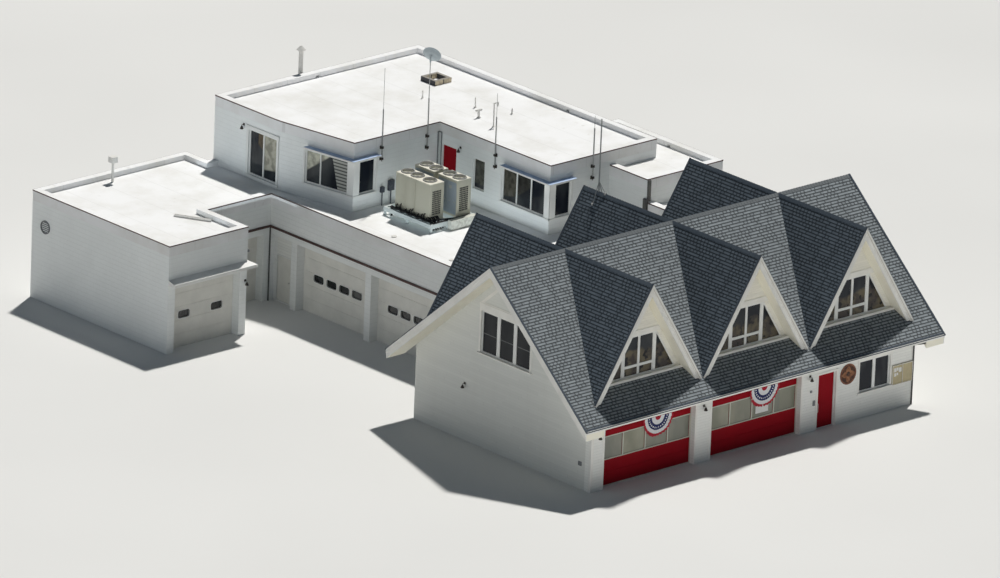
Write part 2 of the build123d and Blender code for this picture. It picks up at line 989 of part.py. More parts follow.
upper_plan_points = [
    (upper_left, rear_back),
    (upper_left, upper_bend),
    (upper_corner_x, upper_corner_y),
    (upper_notch, upper_corner_y),
    (upper_notch, upper_front),
    (rear_right, upper_front),
    (rear_right, rear_back),
]
low_plan = make_face(
    Polyline(
        (court_x, low_meet),
        (court_x, wing_front),
        (garage_right, wing_front),
        (garage_right, garage_front),
        (wing_left, garage_front),
        (wing_left, wing_back),
        (wing_right, wing_back),
        (wing_right, rear_back),
        (rear_right, rear_back),
        (rear_right, step_back),
        (step_right, step_back),
        (step_right, hall_depth),
        (hall_length, hall_depth),
        (hall_length, low_meet),
        close=True,
    )
)
step_plan = make_face(
    Polyline(
        (step_left, step_front),
        (step_right, step_front),
        (step_right, step_back),
        (rear_right, step_back),
        (rear_right, upper_front),
        (step_left, upper_front),
        close=True,
    )
)
link_plan = make_face(
    Polyline(
        (step_left, hall_depth),
        (step_right, hall_depth),
        (step_right, step_front),
        (step_left, step_front),
        close=True,
    )
)


def upper_outline():
    """Plan of the upper storey, with its gently bent west wall."""
    plan = make_face(Polyline(*upper_plan_points, close=True))
    bend = plan.vertices().sort_by_distance((upper_left, upper_bend, 0))[0]
    return fillet(bend, upper_bend_radius)


upper_plan = upper_outline()


def drip_edge(plan, top):
    """A thin metal edge round the top of a flat roof's outer face."""
    ring = lift(offset(plan, drip_thickness, kind=Kind.INTERSECTION), top - drip_height, top)
    return ring - lift(plan, 0, far)


def low_roof_slab():
    """The flat roof over the rear rooms and the wing, which carries the upper storey."""
    top = low_roof + parapet_height
    solid = lift(low_plan, low_under, top) - lift(inset(low_plan, parapet_width), low_roof, far)
    for plan in (upper_plan, step_plan, link_plan):
        solid -= lift(plan, low_roof, far)
    beside_hall = block(court_x - over, roof_right, low_meet - over, hall_depth, low_roof, far)
    add("low_roof", solid - beside_hall)
    edge = drip_edge(low_plan, top) - beside_hall - under_main()
    for plan in (upper_plan, step_plan, link_plan):
        edge -= lift(offset(plan, 2 * drip_thickness, kind=Kind.INTERSECTION), 0, far)
    add("roof_edge_trim", edge)


def rear_floor_and_walls():
    """Ground floor of the rear building and the wing."""
    t = rear_wall
    inner = hall_wall
    add(
        "ground_floor",
        block(inner, hall_length - inner, inner, hall_depth - inner, 0, floor_top),
    )
    rear_floor = [
        (court_x + court_wall, hall_depth),
        (court_x + court_wall, wing_front + court_wall),
        (garage_right - t, wing_front + court_wall),
        (garage_right - t, garage_front + court_wall),
        (wing_left + t, garage_front + court_wall),
        (wing_left + t, wing_back - t),
        (wing_right - t, wing_back - t),
        (wing_right - t, rear_back - t),
        (rear_right - t, rear_back - t),
        (rear_right - t, step_back - t),
        (step_right - t, step_back - t),
        (step_right - t, hall_depth),
    ]
    add("ground_floor", prism_z(rear_floor, 0, floor_top))
    crossing = [
        (wing_right, rear_right, rear_back),
        (rear_right - t, step_right - t, step_back),
        (wing_left, wing_right, wing_back),
    ]
    for x0, x1, y in crossing:
        add("rear_cross_walls", block(x0, x1, y - t, y, 0, low_under))
    running = [
        (rear_right, step_back, rear_back - t),
        (step_right, hall_depth, step_back),
        (wing_left + t, garage_front + court_wall, wing_back - t),
        (wing_right, rear_back - t, wing_back - t),
    ]
    for x, y0, y1 in running:
        add("rear_side_walls", block(x - t, x, y0, y1, 0, low_under))


# Depths of the courtyard wall's door bay and its two garage bays, from the back forwards
door_bay_low = wing_front - court_door_bay
court_bays = [door_bay_low - (i + 1) * (court_pier + court_bay) for i in range(2)]


def courtyard_walls():
    """Wall towards the courtyard, the set-back wall round its door, and that door."""
    x0, x1 = court_x, court_x + court_wall
    lows = [hall_depth, court_bays[1] + court_bay, court_bays[0] + court_bay]
    for low, high in zip(lows, [court_bays[1], court_bays[0], door_bay_low]):
        add("courtyard_piers", block(x0, x1, low, high, 0, court_opening_top))
    add("courtyard_header", block(x0, x1, hall_depth, wing_front, court_opening_top, low_under))
    wall_x = x0 + court_door_wall_recess
    width = court_door_width + 2 * (frame_face + leaf_gap)
    door_high = wing_front - court_door_from_corner
    door_low = door_high - width
    top = floor_top + court_door_height + frame_face
    for low, high in ((door_bay_low, door_low), (door_high, wing_front)):
        wall = block(wall_x, wall_x + court_door_wall, low, high, 0, court_opening_top)
        add("courtyard_door_side_walls", wall)
    lintel = block(wall_x, wall_x + court_door_wall, door_low, door_high, top, court_opening_top)
    add("door_lintels", lintel)
    leaf_x = wall_x + court_door_setback
    frame, leaf, hinge = door_parts(width, top, floor_top, court_door_wall - court_door_setback)
    # The parts are hinged at their right end; this door is hinged at its left one
    place = facing_left(leaf_x, door_high) * Pos(width, 0, 0)
    add("door_frames", place * mirror(frame, about=Plane.YZ))
    add("courtyard_door", place * mirror(leaf, about=Plane.YZ))
    knob = post(knob_rose, 0, 0, 0, knob_rose_thickness, 16)
    knob += post(knob_neck, 0, 0, 0, knob_out - knob_depth)
    knob += post(knob_radius, 0, 0, knob_out - knob_depth, knob_out, 16)
    knob_y = door_low + frame_face + leaf_gap + knob_margin
    add("courtyard_knob", Pos(leaf_x, knob_y, knob_height) * (Rot(0, -90, 0) * knob))
    return leaf_x + hinge[1], door_low + hinge[0]


def rounded_windows_door(place, width, height, count, pitch, bottom):
    """A sectional door with a row of small rounded windows, their panes let in from behind."""
    leaf = sectional_door(width, height)
    outline = RectangleRounded(rounded_window_width, rounded_window_height, rounded_window_radius)
    half = rounded_window_width / 2 + pane_rebate
    low = bottom - pane_rebate
    high = bottom + rounded_window_height + pane_rebate
    back = panel_depth - glass_thickness
    for i in range(count):
        x = width / 2 + (i - (count - 1) / 2) * pitch
        centre = Pos(x, 0, bottom + rounded_window_height / 2)
        leaf -= centre * (Rot(90, 0, 0) * extrude(outline, amount=2 * panel_depth, both=True))
        leaf -= block(x - half, x + half, back, panel_depth + over, low, high)
        add("door_glass", place * block(x - half, x + half, back, panel_depth, low, high))
    add("rear_garage_doors", place * leaf)


def courtyard_garage_doors():
    """Two white panel doors towards the courtyard."""
    for low in court_bays:
        place = facing_left(court_x + court_bay_recess, low + court_bay)
        rounded_windows_door(
            place,
            court_bay,
            court_opening_top,
            court_windows,
            court_window_pitch,
            rounded_window_bottom,
        )


def wing_front_walls():
    """Front walls of the wing and the projecting garage, their doors and the ledge."""
    bay_right = court_x - wing_bay_from_court
    bay_left = bay_right - wing_bay_width
    x0, x1 = garage_right - rear_wall, court_x + court_wall
    wall = block(x0, x1, wing_front, wing_front + court_wall, 0, low_under)
    wall -= block(bay_left, bay_right, 0, far, -over, court_opening_top)
    add("rear_cross_walls", wall)
    side_low = garage_front + court_wall
    add(
        "rear_side_walls",
        block(garage_right - rear_wall, garage_right, side_low, wing_front, 0, low_under),
    )
    g0, g1 = wing_left + garage_bay_margin, garage_right - garage_bay_margin
    front = block(wing_left, garage_right, garage_front, side_low, 0, low_under)
    front -= block(g0, g1, 0, far, -over, garage_bay_top)
    add("rear_cross_walls", front)
    wing_door = sectional_door(wing_bay_width, court_opening_top)
    add("rear_garage_doors", Pos(bay_left, wing_front + wing_door_recess, 0) * wing_door)
    place = Pos(g0, garage_front + court_bay_recess, 0)
    rounded_windows_door(
        place,
        g1 - g0,
        garage_bay_top,
        garage_windows,
        garage_window_pitch,
        garage_window_bottom,
    )
    low, high = ledge_height, ledge_height + ledge_thickness
    band = block(court_x - ledge_out, court_x, ledge_front, wing_front, low, high)
    band += block(garage_right, court_x, wing_front - ledge_out, wing_front, low, high)
    add("courtyard_ledge", band)


def garage_canopy():
    """A sloped canopy over the garage front, hipped round its right corner."""
    edge = canopy_top - canopy_drop
    rise = canopy_drop / canopy_out
    back = garage_front + canopy_return
    front_slope = [
        (garage_front - canopy_out, edge - canopy_edge),
        (garage_front - canopy_out, edge),
        (back, edge + rise * (canopy_out + canopy_return)),
        (back, edge - canopy_edge),
    ]
    outer = garage_right + canopy_side_out
    side_slope = [
        (outer, edge - canopy_edge),
        (outer, edge),
        (garage_right, canopy_top),
        (garage_right - canopy_side_out, canopy_top + canopy_drop),
        (wing_left, canopy_top + canopy_drop),
        (wing_left, edge - canopy_edge),
    ]
    canopy = prism_x(front_slope, wing_left, outer) & prism_y(side_slope, 0, back)
    add("canopies", canopy - block(wing_left - over, garage_right, garage_front, far, 0, far))


def slanted_place(y):
    """Place on the slanted stretch of the west wall at a given depth."""
    x = upper_corner_x - (y - upper_corner_y) * upper_slant_out / upper_slant_length
    return Pos(x, y, 0) * Rot(0, 0, slant - 90)


slant = math.degrees(math.atan2(upper_slant_out, upper_slant_length))
slant_stretch = 1 / math.cos(math.radians(slant))
west_low = upper_corner_y + corner_post
west_high = west_low + west_corner_window
south_left = upper_corner_x + corner_post
notch_low = upper_front + corner_post
notch_high = notch_low + notch_corner_window
front_left = upper_notch + corner_post
terrace_door_high = upper_corner_y - terrace_door_from_corner
tall_window_high = upper_corner_y - tall_window_from_corner


def upper_storey():
    """Walls, windows and roof of the upper storey."""
    under = upper_roof_top - slab
    ring = lift(upper_plan, low_roof, under) - lift(inset(upper_plan, upper_wall), 0, far)
    # Sliding door and corner window in the west wall
    place = facing_left(upper_left, slider_near + slider_width)
    ring = cut_window(ring, place, slider_width, slider_bottom, slider_top, [slider_width / 2])
    z0, z1 = corner_window_bottom, corner_window_top
    along = west_corner_window * slant_stretch
    ring = cut_window(ring, slanted_place(west_high), along, z0, z1, [along - west_window_split])
    ring = cut_window(ring, Pos(south_left, upper_corner_y, 0), south_corner_window, z0, z1)
    # Corner window, tall window and terrace door by the notch
    third = notch_corner_window / 3
    place = facing_left(upper_notch, notch_high)
    ring = cut_window(ring, place, notch_corner_window, z0, z1, [third, 2 * third])
    ring = cut_window(ring, Pos(front_left, upper_front, 0), front_corner_window, z0, z1)
    place = facing_left(upper_notch, tall_window_high)
    ring = cut_window(ring, place, tall_window_width, tall_window_bottom, tall_window_top)
    place = facing_left(upper_notch, terrace_door_high)
    foot = low_roof + terrace_threshold
    head = foot + terrace_door_height
    ring -= place * block(0, terrace_door_width, -over, upper_wall + over, foot, head)
    leaf_back = terrace_door_setback + leaf_thickness
    leaf = block(0, terrace_door_width, terrace_door_setback, leaf_back, foot, head)
    add("terrace_door", place * leaf)
    inner_y = upper_corner_y + upper_wall
    split_x = upper_notch / 2 + upper_corner_x / 2
    west = block(0, split_x, inner_y, far, 0, far)
    back = block(split_x, far, rear_back - upper_wall, far, 0, far)
    south = block(0, upper_notch, 0, inner_y, 0, far)
    inner_x = upper_notch + upper_wall
    notch = block(upper_notch, inner_x, upper_front + upper_wall, inner_y, 0, far)
    front = block(upper_notch, far, 0, upper_front + upper_wall, 0, far)
    right_low, right_high = upper_front + upper_wall, rear_back - upper_wall
    right = block(rear_right - upper_wall, far, right_low, right_high, 0, far)
    add("upper_west_wall", ring & west)
    add("upper_cross_walls", ring & back, ring & south, ring & front)
    add("upper_side_walls", ring & notch, ring & right)
    roof = lift(upper_plan, under, upper_top)
    roof -= lift(inset(upper_plan, parapet_width), upper_roof_top, far)
    back_scupper = Pos(upper_notch, rear_back, 0)
    right_scupper = Pos(rear_right, step_back + right_scupper_back, 0) * Rot(0, 0, -90)
    roof -= back_scupper * scupper(upper_roof_top)
    roof -= right_scupper * scupper(upper_roof_top)
    add("upper_roof", roof)
    edge = drip_edge(upper_plan, upper_top)
    add("roof_edge_trim", edge)


def scupper(roof):
    """Cutter for a drain hole through a parapet whose outer face is the XZ plane."""
    half = scupper_width / 2
    return block(-half, half, -parapet_width - over, over, roof, roof + scupper_height)


def eyebrows():
    """Thin canopies that run round the two corner windows."""
    low = corner_window_top + eyebrow_lift
    high = low + eyebrow_thickness
    out = eyebrow_out
    west_end = west_high - eyebrow_far_inset
    south_end = south_left + south_corner_window + eyebrow_overrun
    wall_x = upper_corner_x - (west_end - upper_corner_y) * upper_slant_out / upper_slant_length
    west = [
        (upper_corner_x, upper_corner_y),
        (wall_x, west_end),
        (wall_x - out, west_end),
        (upper_corner_x - out, upper_corner_y - out),
        (south_end, upper_corner_y - out),
        (south_end, upper_corner_y),
    ]
    notch_end = notch_high - eyebrow_far_inset
    front_end = front_left + front_corner_window + eyebrow_overrun
    notch = [
        (upper_notch, upper_front),
        (upper_notch, notch_end),
        (upper_notch - out, notch_end),
        (upper_notch - out, upper_front - out),
        (front_end, upper_front - out),
        (front_end, upper_front),
    ]
    for points in (west, notch):
        add("canopies", prism_z(points, low, high) - lift(upper_plan, 0, far))


def step_and_link():
    """The lower stair block beside the upper storey and the link towards the hall."""
    under = step_top - parapet_height - slab
    x0, x1, t = step_left, step_right, upper_wall
    add(
        "stair_block_side_walls",
        block(x0, x0 + t, step_front + t, upper_front, low_roof, under),
        block(x1 - t, x1, step_front + t, step_back - t, low_roof, under),
    )
    add("stair_block_cross_walls", block(x0, x1, step_front, step_front + t, low_roof, under))
    add("stair_block_cross_walls", block(rear_right, x1, step_back - t, step_back, low_roof, under))
    rim = parapet_width
    # No parapet towards the upper storey
    inner = [
        (x0 + rim, step_front + rim),
        (x1 - rim, step_front + rim),
        (x1 - rim, step_back - rim),
        (rear_right, step_back - rim),
        (rear_right, upper_front),
        (x0 + rim, upper_front),
    ]
    roof = lift(step_plan, under, step_top) - prism_z(inner, step_top - parapet_height, far)
    for back in step_scuppers_back:
        place = Pos(x1, step_back - back, 0) * Rot(0, 0, -90)
        roof -= place * scupper(step_top - parapet_height)
    add("stair_block_roofs", roof)
    link_under = link_top - parapet_height - slab
    for x in (x0 + t, x1):
        side = block(x - t, x, hall_depth + t, step_front, low_roof, link_under)
        add("stair_block_side_walls", side)
    front = block(x0, x1, hall_depth, hall_depth + t, low_roof, link_under)
    add("stair_block_cross_walls", front)
    link = block(x0, x1, hall_depth, step_front, link_under, link_top)
    link -= block(
        x0 + rim, x1 - rim, hall_depth + rim, step_front + over, link_top - parapet_height, far
    )
    add("stair_block_roofs", link)
    beyond_upper = lift(offset(upper_plan, 2 * drip_thickness, kind=Kind.INTERSECTION), 0, far)
    add("roof_edge_trim", drip_edge(step_plan, step_top) - beyond_upper)
    # The link has no edge towards the stair block or against the cross gable's back
    open_sides = block(x0 - over, x1 + over, hall_depth, step_front - 2 * drip_thickness, 0, far)
    add("roof_edge_trim", drip_edge(link_plan, link_top) & open_sides)


def fan_place(x, y, length, index, fans):
    """Centre of one fan on top of a unit that runs along Y."""
    return x + unit_depth / 2, y + (index + 0.5) * length / fans


def air_unit(x, y, length, fans):
    """One upright unit with round fan wells on top and grilles on two sides."""
    base = low_roof + unit_base
    top = base + unit_height
    unit = block(x, x + unit_depth, y, y + length, base, top)
    low, high = base + grille_bottom, top - grille_top
    margin = grille_margin
    unit -= block(x + margin, x + unit_depth - margin, y - over, y + grille_recess, low, high)
    outer = x + unit_depth
    unit -= block(outer - grille_recess, outer + over, y + margin, y + length - margin, low, high)
    # A shallow seam down each panel joint of the plain side
    for i in range(1, fans):
        seam = y + i * length / fans
        half = seam_width / 2
        unit -= block(x - over, x + seam_width, seam - half, seam + half, base - over, top + over)
    for i in range(fans):
        cx, cy = fan_place(x, y, length, i, fans)
        unit -= upright(fan_radius, cx, cy, top - fan_well_depth, top + over)
        well_floor = top - fan_well_depth
        hub_top = top - blade_clearance
        fan = post(hub_radius, cx, cy, well_floor, hub_top)
        tip = fan_radius - blade_clearance
        for j in range(blade_count):
            blade = block(0, tip, -blade_width / 2, blade_width / 2, 0, blade_thickness)
            blade = Rot(0, 0, j * 360 / blade_count) * (Rot(blade_tilt, 0, 0) * blade)
            fan += Pos(cx, cy, hub_top - hub_height) * blade
        add("air_unit_fans", fan)
    add("air_units", unit)


def air_unit_banks():
    """Two banks of units on a raised frame, and the pipes that feed them."""
    left_x = upper_corner_x + left_bank_from_corner
    right_x = upper_corner_x + right_bank_from_corner
    left_y = upper_corner_y - left_bank_back - unit_wide
    right_y = upper_corner_y - right_bank_back - unit_wide
    front_y = right_y - right_bank_gap - unit_wide
    air_unit(left_x, left_y, unit_wide, 2)
    air_unit(left_x, left_y - unit_gap - unit_narrow, unit_narrow, 1)
    air_unit(right_x, right_y, unit_wide, 2)
    air_unit(right_x, front_y, unit_wide, 2)
    base = low_roof + unit_base
    x0, x1 = left_x - frame_left_reach, right_x + unit_depth + frame_right_reach
    y0, y1 = front_y - frame_front_reach, right_y + unit_wide + frame_back_reach
    rail = frame_rail
    frame = block(x0, x0 + rail, y0, y1, base - rail_depth, base)
    for x in (left_x, left_x + unit_depth - rail, right_x, right_x + unit_depth - rail, x1 - rail):
        frame += block(x, x + rail, y0, y1, base - rail_depth, base)
    for y in (y0, (y0 + y1) / 2, y1 - rail):
        frame += block(x0, x1, y, y + rail, base - rail_depth, base)
        for x in (x0, left_x + unit_depth - rail, right_x, x1 - rail):
            frame += block(x, x + rail, y, y + rail, low_roof, base)
    add("air_unit_frame", frame)
    for i in range(pipe_count):
        z = base + pipe_radius
        y = y0 + pipe_first + i * pipe_pitch
        x = left_x - (pipe_count - i) * pipe_pitch + pipe_pitch / 2
        start = right_x + unit_depth - (i + 1) * pipe_start_step
        end = left_y + unit_wide + pipe_back_reach
        run = [(start, front_y, z), (start, y, z), (x, y, z), (x, end, z), (x, end, low_roof)]
        add("air_unit_pipes", pipe_run(pipe_radius, *run))
    for i in range(2):
        x = right_x - plinth_left + i * (plinth_width + plinth_gap)
        box = block(x, x + plinth_width, y0 - plinth_depth, y0, low_roof, low_roof + plinth_height)
        add("wall_fittings", box)


def mast(place, radius, top):
    """A mast on two wall brackets; the wall's outer face is the XZ plane."""
    pole = post(mast_radius, 0, -mast_standoff, mast_foot, mast_top)
    pole += post(radius, 0, -mast_standoff, mast_top - over, top)
    half = mast_bracket_width / 2
    for lift_up in (mast_bracket_low, mast_bracket_high):
        z = mast_foot + lift_up
        pole += block(-half, half, -mast_standoff, 0, z, z + mast_bracket_height)
    add("masts", place * pole)


def masts():
    """Antenna masts on the upper storey's walls, a dish, and a tripod mast on a ridge."""
    first = Pos(upper_corner_x + first_mast_from_corner, upper_corner_y, 0)
    mast(first, whip_radius, first_mast_top)
    dish_x = upper_notch - dish_mast_from_notch
    dish_mast = Pos(dish_x, upper_corner_y, 0)
    mast(dish_mast, dish_pole_radius, dish_mast_top)
    third = facing_left(upper_notch, upper_front + third_mast_back)
    mast(third, whip_radius, third_mast_top)
    fourth = Pos(upper_notch + fourth_mast_from_corner, upper_front, 0)
    mast(fourth, whip_radius, fourth_mast_top)
    dish(dish_x, upper_corner_y - mast_standoff, dish_mast_top)
    centre = gable_centres[1]
    y = hall_depth - tripod_back
    pole = post(mast_radius, centre, y, ridge_top - over, ridge_top + tripod_mast_height)
    joint = (centre, y, ridge_top + tripod_joint)
    feet = [
        (centre, y - tripod_spread, ridge_top),
        (centre - tripod_side, y, ridge_top - tripod_side * cross_slope),
        (centre + tripod_side, y, ridge_top - tripod_side * cross_slope),
    ]
    for foot in feet:
        pole += pipe_run(leg_radius, joint, foot)
        pole += Pos(*foot) * Box(foot_size, foot_size, foot_size)
    add("masts", pole - cross_prism(centre, 0, 0, hall_depth))


def dish(x, y, z):
    """A round dish clamped to the top of its mast."""
    half, middle, deep = dish_radius / 2, dish_depth / 4, dish_depth
    profile = Polyline(
        (0, 0, 0),
        (half, 0, middle),
        (dish_radius, 0, deep),
        (dish_radius, 0, deep + dish_wall),
        (half, 0, middle + dish_wall),
        (0, 0, dish_wall),
        close=True,
    )
    shape = revolve(make_face(profile), Axis.Z)
    arm = post(dish_arm_radius, 0, 0, -dish_arm, dish_wall / 2)
    tilted = Plane(origin=(x + dish_ahead, y, z + dish_lift), z_dir=dish_direction)
    placed = tilted.location * (shape + arm)
    clamp = post(dish_clamp_radius, x, y, z - dish_clamp_height, z + dish_clamp_over)
    clamp -= post(dish_pole_radius + snug, x, y, 0, z + snug)
    add("dish_antenna", placed + clamp)


def roof_vent(x, y, roof, height, radius):
    """A straight vent pipe standing in a low collar on a roof."""
    pipe = post(radius, x, y, roof, roof + height)
    return pipe + post(2 * radius, x, y, roof, roof + vent_collar)


def roof_vents():
    """Vents, hatch curb and drains on the flat roofs, and the flue on the back wall."""
    roof = upper_roof_top
    for right, back, height, radius in vent_pipes:
        add("roof_vents", roof_vent(upper_notch + right, upper_corner_y + back, roof, height, radius))
    x, y = upper_notch + gooseneck_right, upper_corner_y + gooseneck_back
    neck = pipe_run(
        vent_radius,
        (x, y, roof),
        (x, y, roof + gooseneck_height),
        (x + gooseneck_out, y, roof + gooseneck_height),
        (x + gooseneck_out, y, roof + gooseneck_height - gooseneck_drop),
    )
    add("roof_vents", neck + post(2 * vent_radius, x, y, roof, roof + vent_collar))
    # Two pipes joined as a T
    x, y = upper_notch + tee_right, upper_corner_y + tee_back
    tee = roof_vent(x, y, roof, tee_height, tee_radius)
    half = tee_length / 2
    tee += pipe_run(tee_radius, (x - half, y, roof + tee_height), (x + half, y, roof + tee_height))
    add("roof_vents", tee)
    x0, y0 = rear_right - hatch_from_right, rear_back - hatch_from_back
    hatch = block(x0, x0 + hatch_width, y0, y0 + hatch_length, roof, roof + hatch_height)
    w = hatch_wall
    hatch -= block(x0 + w, x0 + hatch_width - w, y0 + w, y0 + hatch_length - w, roof, far)
    add("roof_vents", hatch)
    x, y = upper_notch - flue_from_notch, rear_back + flue_standoff
    flue = pipe_run(
        flue_radius, (x, rear_back, flue_foot), (x, y, flue_foot), (x, y, flue_top), sides=24
    )
    flue += Pos(x, y, flue_top) * Cone(
        flue_cap_radius, flue_radius / 2, flue_cap_height, align=(Align.CENTER, Align.CENTER, here)
    )
    add("roof_vents", flue)
    for back in drains_back:
        y = upper_front + back
        drain = post(drain_radius, court_x + drain_from_court, y, low_roof, low_roof + drain_height, 16)
        add("roof_vents", drain)
    x, y = court_x - post_from_court, wing_back - post_from_back
    stand = post(post_radius, x, y, low_roof, low_roof + post_height)
    half = post_head_width / 2
    z = low_roof + post_height - over
    stand += block(x - half, x + half, y - half, y + half, z, z + post_head_height)
    add("roof_vents", stand)
    turn = math.degrees(math.atan2(-lying_pipe_fall, lying_pipe_run))
    for i in range(2):
        pipe = pipe_run(lying_pipe_radius, (0, 0, 0), (lying_pipe_length, 0, 0))
        place = Pos(
            garage_right - lying_pipe_from_right,
            garage_front + lying_pipe_back,
            low_roof + lying_pipe_radius + snug,
        )
        shift = Pos(0, i * 3 * lying_pipe_radius, 0)
        add("roof_vents", place * (Rot(0, 0, turn) * (shift * pipe)))


def rain_pipes():
    """Rain pipes at the hall's right corner, the courtyard corner and the stair block."""
    r = rain_pipe_radius
    x = hall_length - rain_pipe_from_end
    y = -r - snug
    top_y = rain_pipe_outlet_out - eave_overhang
    outlet = pipe_run(
        r,
        (x, top_y, eave_top),
        (x, top_y, rain_pipe_outlet),
        (x, y, rain_pipe_wall_top),
        (x, y, 0),
    )
    add("rain_pipes", outlet & main_prism(deck_thickness, 0, roof_right, base=-slab))
    corner = post(r, court_x - r - snug, wing_front - r - snug, 0, ledge_height)
    # The pipe stands under the ledge
    add("rain_pipes", corner)
    w, d = stair_pipe_width, stair_pipe_depth
    knee = stair_pipe_knee
    top = step_top - drip_height
    stair = block(step_left - d, step_left + w, step_front - d, step_front, knee - d, top)
    stair += block(step_left - d, step_left, step_front - d, step_front + w, low_roof, knee)
    stair -= block(step_left - over, step_left, step_front - over, step_front + over, knee, far)
    beside_link = offset(link_plan, drip_thickness, kind=Kind.INTERSECTION)
    add("rain_pipes", stair - lift(beside_link, 0, link_top))


def lamp(place):
    """A wall lamp with its shade's foot at the place; the wall's face is the XZ plane."""
    half = lamp_plate_half
    z = lamp_plate_lift
    shape = block(-half, half, -lamp_plate_thickness, 0, z - half, z + half)
    shape += pipe_run(lamp_arm, (0, 0, z), (0, -lamp_reach, z), (0, -lamp_reach, lamp_shade_height))
    wide, narrow, t = lamp_shade_bottom, lamp_shade_top, lamp_shade_wall
    shade = loft([RegularPolygon(wide, 8), Pos(0, 0, lamp_shade_height) * RegularPolygon(narrow, 8)])
    inside = loft(
        [
            Pos(0, 0, -t) * RegularPolygon(wide - t, 8),
            Pos(0, 0, lamp_shade_height - t) * RegularPolygon(narrow - t, 8),
        ]
    )
    shape += Pos(0, -lamp_reach, 0) * (shade - inside)
    add("wall_lamps", place * shape)


def lamps():
    """Lamps on the piers, the end gable, the garage and the upper storey."""
    pier_centres = [
        first_bay / 2,
        bay_starts[1] - bay_pier / 2,
        entry_left - entry_pier / 2,
    ]
    for x in pier_centres:
        lamp(Pos(x, 0, front_lamp_height))
    gable_lamp_y = gable_window_high + gable_lamp_from_window
    lamp(facing_left(0, gable_lamp_y) * Pos(0, 0, gable_lamp_height))
    lamp(Pos(garage_right - wing_lamp_from_end, garage_front, wing_lamp_height))
    slider_lamp_y = slider_near + slider_width + slider_lamp_gap
    lamp(facing_left(upper_left, slider_lamp_y) * Pos(0, 0, upper_lamp_height))
    terrace_lamp_y = terrace_door_high - terrace_door_width - terrace_lamp_gap
    lamp(facing_left(upper_notch, terrace_lamp_y) * Pos(0, 0, upper_lamp_height))


def front_fixtures():
    """Plaque, notice board, push plate and keypad on the hall front."""
    plaque_x = (entry_right + hall_window_left) / 2
    disc = Rot(90, 0, 0) * upright(plaque_radius, 0, 0, 0, plaque_thickness)
    add("round_plaque", Pos(plaque_x, 0, plaque_height) * disc)
    x1 = hall_length - board_from_end
    x0 = x1 - board_width
    z0, z1 = board_bottom, board_bottom + board_height
    board = block(x0, x1, -board_depth, 0, z0, z1)
    middle = (x0 + x1) / 2
    half = board_rim / 2
    for left, right in ((x0 + board_rim, middle - half), (middle + half, x1 - board_rim)):
        face = board_recess - board_depth
        board -= block(left, right, -board_depth - over, face, z0 + board_rim, z1 - board_rim)
    add("notice_board", board)
    x = entry_left - push_plate_from_door
    half = push_plate / 2
    z = push_plate_height
    add("wall_fittings", block(x - half, x + half, -fixture_depth, 0, z - half, z + half))
    x = entry_left - keypad_from_door
    half = keypad_width / 2
    low = keypad_height
    high = low + 2 * keypad_part_height
    keypad = block(x - half, x + half, -fixture_depth, 0, low, high)
    groove = low + keypad_part_height
    keypad -= block(x - far, x + far, -far, -keypad_gap, groove - keypad_groove, groove + keypad_groove)
    add("wall_fittings", keypad)


def louvred_vent(place, radius):
    """A round vent: a ring with slats across it; the wall's face is the XZ plane."""
    ring = post(radius, 0, 0, 0, fixture_depth, 24) - post(radius - vent_rim, 0, 0, -over, far, 24)
    pitch = 2 * radius / (vent_slats + 1)
    for i in range(vent_slats):
        y = -radius + (i + 1) * pitch
        slat = block(-radius, radius, y - slat_half, y + slat_half, 0, fixture_depth / 2)
        ring += slat & post(radius - vent_rim / 2, 0, 0, 0, far, 24)
    add("wall_fittings", place * (Rot(90, 0, 0) * ring))


def wall_fittings():
    """Vents, electrical boxes and a conduit loop on the outer walls."""
    place = facing_left(wing_left, wing_back - wing_vent_from_back) * Pos(0, 0, wing_vent_height)
    louvred_vent(place, wing_vent_radius)
    y = gable_vent_from_front
    half = gable_vent / 2
    z = gable_vent_height
    add("wall_fittings", block(-fixture_depth, 0, y - half, y + half, z - half, z + half))
    x = upper_corner_x + switch_box_from_corner
    y = upper_corner_y
    z = low_roof + switch_box_lift
    small_x = x - small_box_gap - small_box_width
    for left, width, height in (
        (x, switch_box_width, switch_box_height),
        (small_x, small_box_width, small_box_height),
    ):
        box = block(left, left + width, y - switch_box_depth, y, z, z + height)
        middle = y - switch_box_depth / 2
        box += post(conduit_radius, left + width / 2, middle, low_roof, z)
        add("wall_fittings", box)
    r = conduit_radius
    off = r + snug
    loop = pipe_run(
        r,
        (upper_notch - conduit_left, y - off, low_roof),
        (upper_notch - conduit_left, y - off, conduit_top),
        (upper_notch - off, y - off, conduit_top),
        (upper_notch - off, y - conduit_front, conduit_top),
        (upper_notch - off, y - conduit_front, low_roof),
    )
    add("wall_fittings", loop)
    flood = block(
        garage_right,
        garage_right + flood_size,
        garage_front,
        garage_front + flood_size,
        flood_height,
        flood_height + flood_size,
    )
    add("wall_fittings", flood)


def bunting():
    """Half-round cloth fans that hang flat on the two front doors."""
    for start in bay_starts:
        centre = start + bunting_from_bay
        upper_half = Pos(0, bunting_radius) * Rectangle(4 * bunting_radius, 2 * bunting_radius)
        fan = extrude(Plane.XZ * (Circle(bunting_radius) - upper_half), amount=bunting_thickness)
        add("bunting", Pos(centre, door_recess, bunting_top) * fan)


roof_slopes()
dormer_trim()
main_trim()
front_wall()
front_trim()
hall_shell()
gable_trim()
dormer_walls()
hall_windows()
front_garage_doors()
entry_hinge = entry_door()
low_roof_slab()
rear_floor_and_walls()
courtyard_hinge = courtyard_walls()
courtyard_garage_doors()
wing_front_walls()
garage_canopy()
upper_storey()
eyebrows()
step_and_link()
air_unit_banks()
masts()
roof_vents()
rain_pipes()
lamps()
front_fixtures()
wall_fittings()
bunting()

